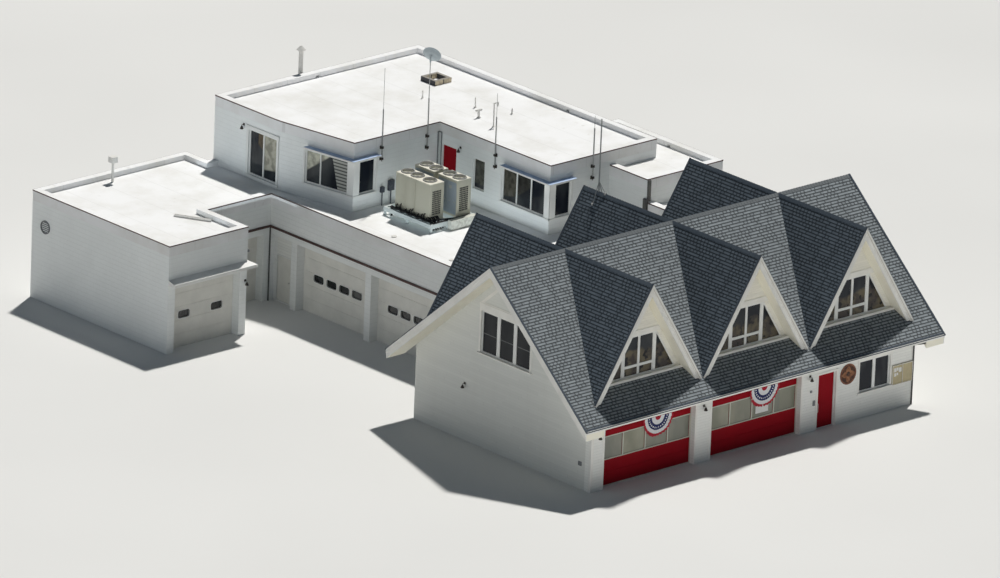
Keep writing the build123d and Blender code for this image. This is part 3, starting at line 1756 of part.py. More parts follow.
boxes = [solid.bounding_box() for solids in parts.values() for solid in solids]
centre_x = (min(box.min.X for box in boxes) + max(box.max.X for box in boxes)) / 2
centre_y = (min(box.min.Y for box in boxes) + max(box.max.Y for box in boxes)) / 2

os.makedirs("parts", exist_ok=True)
for name, solids in parts.items():
    moved = [Pos(-centre_x, -centre_y, 0) * solid for solid in solids]
    export_step(Compound(children=moved) if len(moved) > 1 else moved[0], f"parts/{name}.step")

print("origin", centre_x, centre_y, "nodes", len(parts))
print("entry hinge", entry_hinge)
print("courtyard hinge", courtyard_hinge)
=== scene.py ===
import math

import bmesh
import bpy
from mathutils import Matrix, Vector


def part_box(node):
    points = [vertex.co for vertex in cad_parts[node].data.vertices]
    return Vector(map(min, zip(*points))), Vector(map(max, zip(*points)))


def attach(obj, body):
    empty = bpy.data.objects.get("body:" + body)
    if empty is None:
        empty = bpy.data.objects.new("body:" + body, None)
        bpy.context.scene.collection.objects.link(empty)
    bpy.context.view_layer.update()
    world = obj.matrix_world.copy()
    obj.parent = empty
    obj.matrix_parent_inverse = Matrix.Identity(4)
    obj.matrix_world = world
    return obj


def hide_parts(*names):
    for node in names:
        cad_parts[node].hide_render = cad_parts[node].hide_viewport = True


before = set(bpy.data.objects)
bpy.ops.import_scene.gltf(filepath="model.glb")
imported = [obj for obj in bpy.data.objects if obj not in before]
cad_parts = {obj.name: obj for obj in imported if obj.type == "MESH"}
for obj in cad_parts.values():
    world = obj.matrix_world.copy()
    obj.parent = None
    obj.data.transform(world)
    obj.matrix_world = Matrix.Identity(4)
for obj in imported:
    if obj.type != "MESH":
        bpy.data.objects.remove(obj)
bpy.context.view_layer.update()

# Places are given in metres from the hall's front left ground corner: X along the front,
# Y back, Z up. at() moves them into the shared frame.
corner_x, corner_y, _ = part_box("front_header")[0]


def at(x, y, z):
    """A place measured from the hall's corner, in the shared frame."""
    return (x + corner_x, y + corner_y, z)


def ends(node, axis):
    """A CAD node's low and high end on an axis, from the hall's corner, to 0.1 mm."""
    start = {"x": corner_x, "y": corner_y, "z": 0.0}[axis]
    return [round(point["xyz".index(axis)] - start, 4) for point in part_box(node)]


def link(name, data):
    """A new object with the given data, in the scene."""
    made = bpy.data.objects.new(name, data)
    bpy.context.collection.objects.link(made)
    return made


# Main sizes: the front's bays, the roof's ridge and eaves, and the low roof's height
bay_width = 5.12
doors_start, doors_end = ends("front_garage_doors", "x")
bays = [doors_start, doors_end - bay_width]
door_face = ends("front_garage_doors", "y")[0]
door_top = ends("front_garage_doors", "z")[1]
hall_length = ends("front_header", "x")[1]
hall_depth = ends("hall_back_wall", "y")[1]
front_eave, ridge_y = ends("roof_front_slope", "y")
ridge_z = ends("roof_front_slope", "z")[1]
eave_z = ends("eave_boards", "z")[1]
main_run = ridge_y - front_eave
main_rise = (ridge_z - eave_z) / main_run
cross_rise = 1.5728
gable_start = ends("gable_right_slopes", "x")[0]
gable_end = ends("gable_left_slopes", "x")[1]
gables = [gable_start, (gable_start + gable_end) / 2, gable_end]
low_roof = ends("air_unit_frame", "z")[0]


# Materials

class Tree:
    """A material with its Principled shader, and short calls to build its nodes."""

    def __init__(self, name, rough, metal=0.0, specular=0.5):
        self.mat = bpy.data.materials.new(name)
        self.mat.use_nodes = True
        self.nodes = self.mat.node_tree.nodes
        self.links = self.mat.node_tree.links
        self.shader = self.nodes["Principled BSDF"]
        self.shader.inputs["Roughness"].default_value = rough
        self.shader.inputs["Metallic"].default_value = metal
        self.shader.inputs["Specular IOR Level"].default_value = specular
        coord = self.node("TexCoord").outputs["Object"]
        move = self.node("VectorMath", coord, (corner_x, corner_y, 0))
        move.operation = "SUBTRACT"
        self.place = move.outputs[0]
        self.x, self.y, self.z = self.node("SeparateXYZ", self.place).outputs

    def put(self, value, socket):
        if isinstance(value, bpy.types.NodeSocket):
            self.links.new(value, socket)
        elif isinstance(value, (tuple, list)) and len(value) == 3 and socket.type == "RGBA":
            socket.default_value = (*value, 1)
        else:
            socket.default_value = value

    def node(self, kind, *values):
        """A new node of a kind, with the values on its first inputs."""
        node = self.nodes.new("ShaderNode" + kind)
        for value, socket in zip(values, node.inputs):
            self.put(value, socket)
        return node

    def math(self, op, a, b=0.0):
        node = self.node("Math", a, b)
        node.operation = op
        return node.outputs[0]

    def times(self, a, b):
        return self.math("MULTIPLY", a, b)

    def plus(self, a, b):
        return self.math("ADD", a, b)

    def minus(self, a, b):
        return self.math("SUBTRACT", a, b)

    def over(self, a, b):
        return self.math("DIVIDE", a, b)

    def above(self, a, limit):
        """1 where a is more than the limit, else 0."""
        return self.math("GREATER_THAN", a, limit)

    def below(self, a, limit):
        """1 where a is less than the limit, else 0."""
        return self.math("LESS_THAN", a, limit)

    def whole(self, a):
        return self.math("FLOOR", a)

    def part(self, a):
        return self.math("FRACT", a)

    def length(self, x, y):
        return self.math("SQRT", self.plus(self.times(x, x), self.times(y, y)))

    def clamp(self, a, low, high, most=1.0):
        """Rises from 0 at low to the most at high, and stays between them."""
        return self.node("MapRange", a, low, high, 0.0, most).outputs[0]

    def mix(self, fac, a, b):
        node = self.node("Mix", fac)
        node.data_type = "RGBA"
        self.put(a, node.inputs[6])
        self.put(b, node.inputs[7])
        return node.outputs[2]

    def vector(self, x, y, z=0.0):
        return self.node("CombineXYZ", x, y, z).outputs[0]

    def stretch(self, x, y, z):
        node = self.node("VectorMath", self.place, (x, y, z))
        node.operation = "MULTIPLY"
        return node.outputs[0]

    def noise(self, scale, detail, vector=None, rough=0.5):
        node = self.node("TexNoise", vector or self.place)
        node.inputs["Scale"].default_value = scale
        node.inputs["Detail"].default_value = detail
        node.inputs["Roughness"].default_value = rough
        return node.outputs["Fac"]

    def random(self, vector):
        node = self.node("TexWhiteNoise", vector)
        node.noise_dimensions = "3D"
        return node.outputs["Value"]

    def inside(self, x=None, y=None, z=None):
        """1 between the given (low, high) bounds on each axis, else 0."""
        mask = 1.0
        for value, bounds in ((self.x, x), (self.y, y), (self.z, z)):
            if bounds:
                low, high = bounds
                span = self.times(self.above(value, low), self.below(value, high))
                mask = self.times(span, mask)
        return mask

    def normal(self):
        """The three parts of the surface's direction."""
        return self.node("SeparateXYZ", self.node("NewGeometry").outputs["Normal"]).outputs

    def rough(self, value):
        self.links.new(value, self.shader.inputs["Roughness"])

    def done(self, color, height=None, distance=0.0):
        """Takes the colour and, where one is given, the relief, and returns the material."""
        self.links.new(color, self.shader.inputs["Base Color"])
        if height is not None:
            node = self.node("Bump")
            node.inputs["Distance"].default_value = distance
            self.links.new(height, node.inputs["Height"])
            self.links.new(node.outputs[0], self.shader.inputs["Normal"])
        return self.mat


def shade(color, k):
    """A colour made k times as bright."""
    return tuple(min(1.0, c * k) for c in color)


# Sizes of what repeats on the surfaces
shingle_course = 0.142
shingle_tab = 0.204
board_length = 3.66
block_height = 0.203
block_length = 0.406
roofing_width = 1.9
soffit_board = 0.14
blind_slat = 0.15
door_pane = 1.28


def shingles(name, across, slope, tint):
    """Strip shingles in courses up a slope; across is the axis that a course runs along."""
    t = Tree(name, rough=0.95, specular=0.12)
    up = t.over(t.z, math.sin(slope) * shingle_course)
    row = t.whole(up)
    rise = t.part(up)
    along = t.over(t.x if across == "x" else t.y, shingle_tab)
    along = t.plus(along, t.times(t.random(t.vector(row, 3.0)), 5.0))
    tab = t.whole(along)
    part = t.part(along)
    gap = t.above(t.random(t.vector(tab, row, 7.0)), 0.35)
    shaded_tooth = t.times(t.below(part, 0.36), gap)
    shaded_tooth = t.times(shaded_tooth, t.below(rise, 0.85))
    tone = t.random(t.vector(tab, row, 1.0))
    patch = t.noise(0.5, 4.0)
    grains = t.noise(120.0, 2.0)
    color = t.mix(tone, shade(tint, 0.84), shade(tint, 1.22))
    color = t.mix(t.clamp(patch, 0.38, 0.68, 0.3), color, shade(tint, 1.4))
    speck = t.mix(t.clamp(grains, 0.35, 0.7), shade(tint, 0.6), shade(tint, 1.5))
    color = t.mix(0.25, color, speck)
    # Dark teeth between the tabs and a dark band under each course: partly the shingles' darker lower
    # layer and printed band, partly painted shade in the gaps and under the course above
    color = t.mix(t.times(shaded_tooth, 0.7), color, shade(tint, 0.3))
    color = t.mix(t.clamp(rise, 0.52, 0.70, 0.9), color, shade(tint, 0.2))
    height = t.minus(t.minus(1.0, rise), t.times(shaded_tooth, 0.3))
    return t.done(color, t.plus(height, t.times(grains, 0.15)), 0.010)


def siding(name, tint, lap, weather, lines):
    """Painted lap boards: a shadow line under each board, its butt joints and faint streaks."""
    t = Tree(name, rough=0.55, specular=0.35)
    up = t.over(t.z, lap)
    row = t.whole(up)
    rise = t.part(up)
    line = t.above(rise, 0.9)
    run = t.plus(t.x, t.y)
    shift = t.times(t.random(t.vector(row, 5.0)), 3.6)
    joint = t.part(t.over(t.plus(run, shift), board_length))
    butt = t.below(joint, 0.0016)
    board = t.random(t.vector(row, t.whole(t.over(t.plus(run, shift), board_length))))
    streaks = t.noise(1.6, 4.0, t.stretch(1.0, 1.0, 0.12))
    color = t.mix(board, shade(tint, 0.965), shade(tint, 1.02))
    color = t.mix(t.clamp(streaks, 0.5, 0.85, weather * 0.2), color, (0.58, 0.57, 0.52))
    color = t.mix(t.times(line, lines), color, shade(tint, 0.5))
    color = t.mix(t.times(butt, 0.5), color, shade(tint, 0.45))
    height = t.plus(t.minus(1.0, rise), t.times(t.noise(30.0, 2.0), 0.06))
    return t.done(color, height, 0.022 * lines)


def stucco(name, tint, stain, top=None):
    """Painted masonry: faint block courses, soft patches, and marks under a wall's top."""
    t = Tree(name, rough=0.75, specular=0.25)
    patches = t.noise(0.35, 4.0, rough=0.6)
    fine = t.noise(60.0, 3.0)
    streaks = t.noise(1.3, 4.0, t.stretch(1.0, 1.0, 0.25))
    up = t.over(t.z, block_height)
    row = t.whole(up)
    half_step = t.times(t.math("MODULO", row, 2.0), 0.5)
    along = t.plus(t.over(t.plus(t.x, t.y), block_length), half_step)
    bed = t.below(t.part(up), 0.10)
    head = t.below(t.part(along), 0.04)
    joint = t.math("MAXIMUM", bed, t.times(head, 0.6))
    block = t.random(t.vector(t.whole(along), row, 2.0))
    color = t.mix(t.clamp(patches, 0.3, 0.75), shade(tint, 0.95), shade(tint, 1.03))
    color = t.mix(t.times(block, 0.10), color, shade(tint, 0.85))
    color = t.mix(t.clamp(streaks, 0.55, 0.8, 0.10 * stain), color, (0.46, 0.47, 0.45))
    color = t.mix(t.times(joint, 0.10 * (0.5 + stain)), color, shade(tint, 0.45))
    if top:
        near = t.times(t.clamp(t.z, top - 0.5, top), t.clamp(streaks, 0.4, 0.66))
        color = t.mix(t.times(near, 0.2 * stain), color, (0.4, 0.4, 0.38))
    foot = t.clamp(t.z, 0.5, 0.0, 0.22 * stain)
    color = t.mix(foot, color, (0.42, 0.41, 0.38))
    return t.done(color, t.minus(t.times(fine, 0.4), joint), 0.003)


def paint(name, tint, rough, grain, wear, scale=14.0, specular=0.35):
    """Painted wood or metal with soft patches, a brushed grain and dulled spots."""
    t = Tree(name, rough=rough, specular=specular)
    patches = t.noise(scale * 0.12, 3.0)
    grains = t.noise(scale, 4.0)
    color = t.mix(t.clamp(patches, 0.3, 0.7), shade(tint, 0.93), shade(tint, 1.04))
    color = t.mix(t.clamp(grains, 0.58, 0.8, wear), color, shade(tint, 0.62))
    t.rough(t.plus(t.times(grains, 0.18), rough - 0.09))
    return t.done(color, grains, grain)


def metal(name, tint, rough, metallic):
    """Weathered metal with blotches in tone and gloss."""
    t = Tree(name, rough=rough, metal=metallic)
    blotch = t.noise(25.0, 4.0)
    patches = t.noise(3.75, 2.0)
    color = t.mix(t.clamp(blotch, 0.3, 0.72), shade(tint, 0.72), shade(tint, 1.15))
    color = t.mix(t.clamp(patches, 0.55, 0.8, 0.35), color, shade(tint, 0.6))
    t.rough(t.plus(t.times(blotch, 0.25), rough - 0.1))
    return t.done(color, blotch, 0.001)


def casing(name):
    """Ivory casing of the air units, painted lighter on top as light and darker on the sides as shade,
    with faint streaks down the sides.
    """
    t = Tree(name, rough=0.5, specular=0.3)
    top = t.above(t.z, ends("air_units", "z")[1] - 0.03)
    grains = t.noise(14.0, 4.0)
    streaks = t.clamp(t.noise(2.2, 3.0, t.stretch(1.0, 1.0, 0.15)), 0.45, 0.75, 0.5)
    # Painted shade on the sides and painted light on the top
    sides = t.mix(streaks, (0.50, 0.49, 0.40), (0.40, 0.385, 0.30))
    lit_top = t.mix(t.clamp(grains, 0.35, 0.7), (0.80, 0.78, 0.68), (0.72, 0.69, 0.58))
    return t.done(t.mix(top, sides, lit_top), grains, 0.001)


def membrane(name):
    """White roofing sheet with welded laps, dust and small dark spots."""
    t = Tree(name, rough=0.75, specular=0.3)
    tint = (0.865, 0.87, 0.875)
    seam = t.below(t.part(t.over(t.x, roofing_width)), 0.014)
    dust = t.noise(0.5, 5.0, rough=0.62)
    spots = t.noise(3.2, 4.0)
    color = t.mix(t.clamp(dust, 0.42, 0.75), tint, (0.74, 0.735, 0.71))
    color = t.mix(t.clamp(spots, 0.66, 0.8, 0.35), color, (0.5, 0.47, 0.42))
    color = t.mix(t.times(seam, 0.35), color, (0.55, 0.55, 0.54))
    return t.done(color, t.plus(t.times(seam, 0.6), t.times(dust, 0.5)), 0.006)


def glazing(name):
    """Dark window glass with the soft shapes that each window mirrors painted in as reflections, and
    blinds behind one pane.
    """
    t = Tree(name, rough=0.08, specular=0.2)
    shapes = t.noise(0.9, 3.0, t.stretch(1.0, 1.0, 0.45), rough=0.45)
    color = t.mix(t.clamp(shapes, 0.45, 0.65, 0.6), (0.010, 0.013, 0.020), (0.070, 0.078, 0.080))
    # Dormers: painted reflections, a dark upper part over brown and olive shapes
    skyline = t.plus(t.z, t.times(t.noise(1.1, 2.0), 1.1))
    dormer_reflection = t.mix(t.clamp(t.noise(1.9, 3.0), 0.42, 0.6), (0.050, 0.042, 0.038), (0.13, 0.11, 0.07))
    dormer_reflection = t.mix(t.clamp(t.noise(2.7, 2.0), 0.55, 0.62), dormer_reflection, (0.012, 0.013, 0.016))
    hall = t.inside(y=(-0.5, 1.6), z=(3.7, 7.0))
    color = t.mix(t.times(hall, t.clamp(skyline, 6.05, 5.9)), color, dormer_reflection)
    # Upper storey: painted reflections, pale shapes over a slanting line; places are y low, y high, z at
    # y low, rise
    for y0, y1, z0, rise, tint in (
        (26.70, 27.62, 5.42, -0.15, (0.44, 0.43, 0.35)),
        (27.66, 28.00, 6.10, 0.60, (0.11, 0.085, 0.055)),
        (23.80, 25.20, 6.86, -0.72, (0.60, 0.60, 0.50)),
        (17.50, 18.50, 5.75, -0.20, (0.085, 0.08, 0.066)),
        (16.58, 17.46, 6.45, -0.75, (0.038, 0.038, 0.036)),
        (19.40, 20.40, 5.60, 0.10, (0.10, 0.10, 0.085)),
    ):
        line = t.plus(t.times(t.minus(t.y, y0), rise), z0)
        over = t.clamp(t.minus(t.z, line), -0.04, 0.04)
        pane = t.times(over, t.inside(x=(5.0, 11.9), y=(y0, y1), z=(4.7, 7.2)))
        color = t.mix(pane, color, t.mix(t.clamp(t.noise(3.1, 3.0), 0.42, 0.6), tint, shade(tint, 0.55)))
    gable = t.inside(x=(-0.5, 0.8), y=(3.9, 7.1), z=(3.9, 6.5))
    color = t.mix(t.times(gable, 0.7), color, (0.008, 0.010, 0.013))
    rail = t.inside(x=(-0.5, 0.8), y=(3.9, 7.1), z=(4.99, 5.03))
    color = t.mix(t.times(rail, 0.6), color, (0.20, 0.21, 0.21))
    slat = t.clamp(t.part(t.over(t.z, blind_slat)), 0.35, 0.5)
    edge = t.plus(t.times(t.z, 0.233), 22.137)
    blind = t.times(t.below(t.y, edge), t.inside(x=(5.0, 6.6), y=(22.6, 24.2), z=(5.3, 7.0)))
    color = t.mix(blind, color, t.mix(slat, (0.10, 0.105, 0.10), (0.42, 0.43, 0.40)))
    return t.done(color, t.noise(1.4, 1.0), 0.004)


def pane_row(name):
    """Milky panes of the front doors, each a little different, and dark panes of the rear ones."""
    t = Tree(name, rough=0.22, specular=0.5)
    rear = t.above(t.y, 5.0)
    pane = t.whole(t.over(t.minus(t.x, bays[0]), door_pane))
    tone = t.random(t.vector(pane, 4.0))
    shapes = t.noise(1.1, 3.0, t.stretch(1.0, 1.0, 0.6))
    milky = t.mix(t.clamp(shapes, 0.4, 0.65), (0.24, 0.24, 0.175), (0.33, 0.325, 0.245))
    milky = t.mix(t.times(tone, 0.45), milky, (0.17, 0.18, 0.175))
    dark = t.mix(t.clamp(shapes, 0.45, 0.6), (0.010, 0.012, 0.013), (0.055, 0.06, 0.062))
    return t.done(t.mix(rear, milky, dark), t.noise(2.0, 1.0), 0.003)


def soffit(name):
    """Cream boards on the underside of the roof overhangs, with narrow joints."""
    t = Tree(name, rough=0.6, specular=0.3)
    run = t.over(t.y, soffit_board)
    joint = t.below(t.part(run), 0.05)
    tone = t.random(t.vector(t.whole(run), 2.0))
    color = t.mix(tone, (0.85, 0.82, 0.70), (0.88, 0.85, 0.73))
    color = t.mix(t.clamp(t.noise(1.2, 3.0), 0.5, 0.75, 0.25), color, (0.80, 0.70, 0.48))
    color = t.mix(t.times(joint, 0.25), color, (0.50, 0.45, 0.34))
    return t.done(color, t.times(joint, -1.0), 0.004)


def canopy(name):
    """Thin canopies with white fascias and tops painted blue-grey as sky-lit shade; the wing's is white
    all over.
    """
    t = Tree(name, rough=0.5, specular=0.35)
    # Upward faces, except on the wing's canopy, get the painted blue-grey shade
    top = t.times(t.above(t.normal()[2], 0.6), t.above(t.x, 3.0))
    dust = t.clamp(t.noise(2.5, 4.0), 0.35, 0.75)
    sheet = t.mix(dust, (0.40, 0.53, 0.76), (0.52, 0.64, 0.84))
    edge = t.mix(t.clamp(t.noise(1.5, 3.0), 0.4, 0.8), (0.82, 0.82, 0.80), (0.74, 0.73, 0.70))
    return t.done(t.mix(top, edge, sheet), t.noise(9.0, 3.0), 0.003)


def fittings(name):
    """Grey boxes and pipes on the walls, darker by the corner window, and two pale plinths."""
    t = Tree(name, rough=0.55, specular=0.3)
    worn = t.clamp(t.noise(8.0, 4.0), 0.45, 0.7)
    color = t.mix(worn, (0.20, 0.21, 0.22), (0.13, 0.135, 0.14))
    boxes = t.inside(x=(7.6, 9.6), y=(22.0, 22.6), z=(4.6, 7.0))
    color = t.mix(boxes, color, t.mix(worn, (0.060, 0.068, 0.088), (0.095, 0.105, 0.125)))
    plinths = t.inside(x=(7.6, 11.2), y=(17.0, 19.4), z=(4.5, 5.6))
    color = t.mix(plinths, color, t.mix(worn, (0.60, 0.61, 0.55), (0.42, 0.42, 0.37)))
    return t.done(color, t.noise(30.0, 3.0), 0.002)


def vents(name):
    """Weathered white vent pipes, and a roof hatch with a tan front and a side painted near-black as
    shade.
    """
    t = Tree(name, rough=0.5, specular=0.3)
    grime = t.clamp(t.noise(9.0, 4.0), 0.5, 0.75, 0.5)
    color = t.mix(grime, (0.74, 0.73, 0.70), (0.42, 0.40, 0.36))
    hatch = t.inside(x=(14.6, 15.8), y=(26.5, 27.7), z=(7.2, 8.3))
    wood = t.mix(t.clamp(t.noise(7.0, 3.0), 0.4, 0.65), (0.58, 0.50, 0.35), (0.40, 0.34, 0.24))
    wood = t.mix(t.inside(x=(15.15, 15.21)), wood, (0.08, 0.075, 0.07))
    across, ahead, _ = t.normal()
    curb = t.mix(t.below(ahead, -0.5), (0.30, 0.28, 0.25), wood)
    # The hatch's left side is painted near-black as shade
    curb = t.mix(t.below(across, -0.5), curb, (0.04, 0.042, 0.048))
    return t.done(t.mix(hatch, color, curb), t.noise(20.0, 3.0), 0.002)


plaque_place = [sum(ends("round_plaque", axis)) / 2 for axis in "xz"]
plaque_size = 0.46


def plaque(name):
    """A plain round plaque: brown rim, dark ring, and a field with four lobes and a dark hub."""
    t = Tree(name, rough=0.55, specular=0.3)
    x = t.minus(t.x, plaque_place[0])
    z = t.minus(t.z, plaque_place[1])
    radius = t.over(t.length(x, z), plaque_size)
    turn = t.math("ARCTAN2", z, x)
    lobes = t.times(t.math("COSINE", t.times(turn, 4.0)), 0.16)
    field = t.below(radius, t.plus(lobes, 0.62))
    hub = t.below(radius, 0.24)
    rim = t.above(radius, 0.86)
    worn = t.clamp(t.noise(9.0, 4.0), 0.42, 0.62)
    color = t.mix(worn, (0.05, 0.021, 0.015), (0.11, 0.045, 0.024))
    color = t.mix(field, color, t.mix(worn, (0.20, 0.075, 0.034), (0.33, 0.155, 0.072)))
    color = t.mix(hub, color, t.mix(worn, (0.03, 0.02, 0.02), (0.17, 0.07, 0.042)))
    color = t.mix(rim, color, t.mix(worn, (0.16, 0.055, 0.03), (0.26, 0.11, 0.06)))
    return t.done(color, t.plus(field, rim), 0.006)


bunting_size = 0.86
bunting_places = [(start + 3.23, door_face) for start in bays]
bunting_top = ends("bunting", "z")[1]


def bunting_cloth(name):
    """Cloth in rings: red heart, white, blue with white dots, white, and a red hem."""
    t = Tree(name, rough=0.85, specular=0.15)
    middle = (bunting_places[0][0] + bunting_places[1][0]) / 2
    second = t.above(t.x, middle)
    shift = t.times(second, bunting_places[1][0] - bunting_places[0][0])
    x = t.minus(t.minus(t.x, bunting_places[0][0]), shift)
    z = t.minus(t.z, bunting_top)
    radius = t.over(t.length(x, z), bunting_size)
    turn = t.times(t.math("ARCTAN2", z, x), 14 / math.pi)
    dot = t.length(t.minus(t.part(turn), 0.5), t.times(t.minus(radius, 0.58), 5.5))
    cloth_red = (0.42, 0.012, 0.03)
    cloth_white = (0.78, 0.78, 0.80)
    cloth_blue = (0.012, 0.022, 0.11)
    color = t.mix(t.above(radius, 0.19), cloth_red, cloth_white)
    color = t.mix(t.above(radius, 0.42), color, cloth_blue)
    band = t.times(t.below(dot, 0.24), t.below(radius, 0.70))
    color = t.mix(band, color, cloth_white)
    color = t.mix(t.above(radius, 0.70), color, cloth_white)
    color = t.mix(t.above(radius, 0.88), color, cloth_red)
    weave = t.noise(160.0, 2.0)
    color = t.mix(t.times(weave, 0.12), color, (0.3, 0.3, 0.3))
    return t.done(color, weave, 0.001)


main_front = math.atan2(ridge_z - eave_z, main_run)
cross_side = math.atan2(4.703, 2.99)
# Each look: what makes it, its name, and then its colour and what else it takes
recipes = (
    (siding, "front_siding", (0.83, 0.835, 0.80), 0.127, 0.4, 0.28),
    # The end gables and the hall's back wear a darker, greyer copy of the front siding: painted shade
    (siding, "gable_siding", (0.71, 0.72, 0.685), 0.127, 0.7, 0.12),
    (siding, "dormer_siding", (0.84, 0.82, 0.74), 0.10, 0.1, 0.18),
    (stucco, "render_upper", (0.86, 0.885, 0.875), 0.5),
    (stucco, "render_lower", (0.83, 0.845, 0.83), 0.7, 4.8),
    (stucco, "render_back", (0.86, 0.885, 0.875), 0.5),
    (paint, "trim", (0.82, 0.81, 0.77), 0.5, 0.002, 0.12),
    (soffit, "soffit"),
    (paint, "frame_white", (0.80, 0.81, 0.79), 0.4, 0.001, 0.08),
    (shingles, "shingles_front", "x", main_front, (0.272, 0.302, 0.322)),
    # shingles_lit and shingles_shade are one shingle in two copies: lighter on the right slopes as
    # painted light, darker and bluer on the left slopes as painted shade
    (shingles, "shingles_lit", "y", cross_side, (0.225, 0.243, 0.248)),
    (shingles, "shingles_shade", "y", cross_side, (0.120, 0.147, 0.176)),
    (membrane, "membrane"),
    (metal, "edge_metal", (0.10, 0.055, 0.05), 0.5, 0.3),
    (metal, "bronze", (0.055, 0.045, 0.038), 0.45, 0.5),
    (vents, "vent_white"),
    (fittings, "fittings"),
    (paint, "fin_grey", (0.33, 0.385, 0.43), 0.5, 0.001, 0.2),
    (paint, "guard_grey", (0.33, 0.33, 0.32), 0.5, 0.001, 0.3),
    (paint, "rail_grey", (0.52, 0.57, 0.56), 0.5, 0.001, 0.3),
    (paint, "dish_grey", (0.44, 0.50, 0.53), 0.5, 0.001, 0.2),
    (metal, "galvanised", (0.42, 0.43, 0.43), 0.5, 0.7),
    (metal, "dark_steel", (0.12, 0.12, 0.115), 0.5, 0.6),
    (casing, "unit_ivory"),
    (paint, "black_foam", (0.02, 0.02, 0.022), 0.8, 0.004, 0.3),
    (stucco, "concrete", (0.5, 0.49, 0.46), 1.0),
    (glazing, "glass_dark"),
    (pane_row, "glass_door"),
    (paint, "red_paint", (0.285, 0.002, 0.009), 0.6, 0.0015, 0.1, 14.0, 0.12),
    (paint, "door_white", (0.74, 0.73, 0.68), 0.4, 0.001, 0.12),
    (paint, "board_tan", (0.50, 0.43, 0.27), 0.7, 0.004, 0.3, 40.0),
    (metal, "steel", (0.60, 0.60, 0.58), 0.3, 0.9),
    (canopy, "eyebrow"),
    (paint, "black", (0.012, 0.012, 0.013), 0.5, 0.002, 0.2),
    (metal, "coil", (0.018, 0.020, 0.023), 0.6, 0.2),
    (paint, "ridge", (0.085, 0.102, 0.125), 0.95, 0.004, 0.5, 60.0, 0.1),
    # ridge_pale and ridge_shade are the cap shingle in two copies: lighter on the main ridge as painted
    # light, darker and bluer on the cross ridges as painted shade
    (paint, "ridge_pale", (0.190, 0.207, 0.218), 0.95, 0.004, 0.5, 60.0, 0.1),
    (paint, "ridge_shade", (0.112, 0.136, 0.164), 0.95, 0.004, 0.5, 60.0, 0.1),
    (paint, "seal", (0.60, 0.56, 0.50), 0.6, 0.002, 0.2),
    (paint, "cream", (0.56, 0.57, 0.49), 0.5, 0.001, 0.15),
    (paint, "paper", (0.80, 0.80, 0.78), 0.8, 0.001, 0.1),
    (plaque, "plaque"),
    (bunting_cloth, "cloth"),
)
looks = {name: make(name, *rest) for make, name, *rest in recipes}

# Which CAD nodes wear which look
node_looks = {
    "front_siding": "front_piers front_header front_right_wall door_lintels",
    "gable_siding": "end_gable_walls hall_back_wall",
    "dormer_siding": "dormer_walls",
    "render_upper": (
        "upper_west_wall upper_cross_walls upper_side_walls stair_block_cross_walls "
        "stair_block_side_walls"
    ),
    "render_lower": "courtyard_header courtyard_piers courtyard_door_side_walls",
    "render_back": "rear_cross_walls rear_side_walls",
    "trim": "wall_trim window_sills rake_boards eave_boards",
    "soffit": "roof_soffits",
    "frame_white": "window_frames door_frames",
    "shingles_front": "roof_front_slope roof_back_slope",
    "shingles_shade": "gable_left_slopes",
    "shingles_lit": "gable_right_slopes",
    "membrane": "low_roof upper_roof stair_block_roofs",
    "edge_metal": "roof_edge_trim courtyard_ledge",
    "bronze": "wall_lamps air_unit_fans",
    "dark_steel": "rain_pipes",
    "unit_ivory": "air_units",
    "rail_grey": "air_unit_frame",
    "black_foam": "air_unit_pipes",
    "galvanised": "masts",
    "dish_grey": "dish_antenna",
    "vent_white": "roof_vents",
    "fittings": "wall_fittings",
    "concrete": "ground_floor attic_floor",
    "glass_dark": "window_glass",
    "glass_door": "door_glass",
    "red_paint": "front_garage_doors entry_door terrace_door bunting",
    "door_white": "rear_garage_doors courtyard_door",
    "eyebrow": "canopies",
    "board_tan": "notice_board",
    "plaque": "round_plaque",
    "steel": "entry_handle courtyard_knob",
}
for look, names in node_looks.items():
    for name in names.split():
        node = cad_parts[name]
        node.data.materials.clear()
        node.data.materials.append(looks[look])


# Shapes

def between(n, pairs):
    """Faces between pairs of rings with n points each; the pairs are the rings' numbers."""
    return [
        (a * n + i, a * n + (i + 1) % n, b * n + (i + 1) % n, b * n + i)
        for a, b in pairs for i in range(n)
    ]


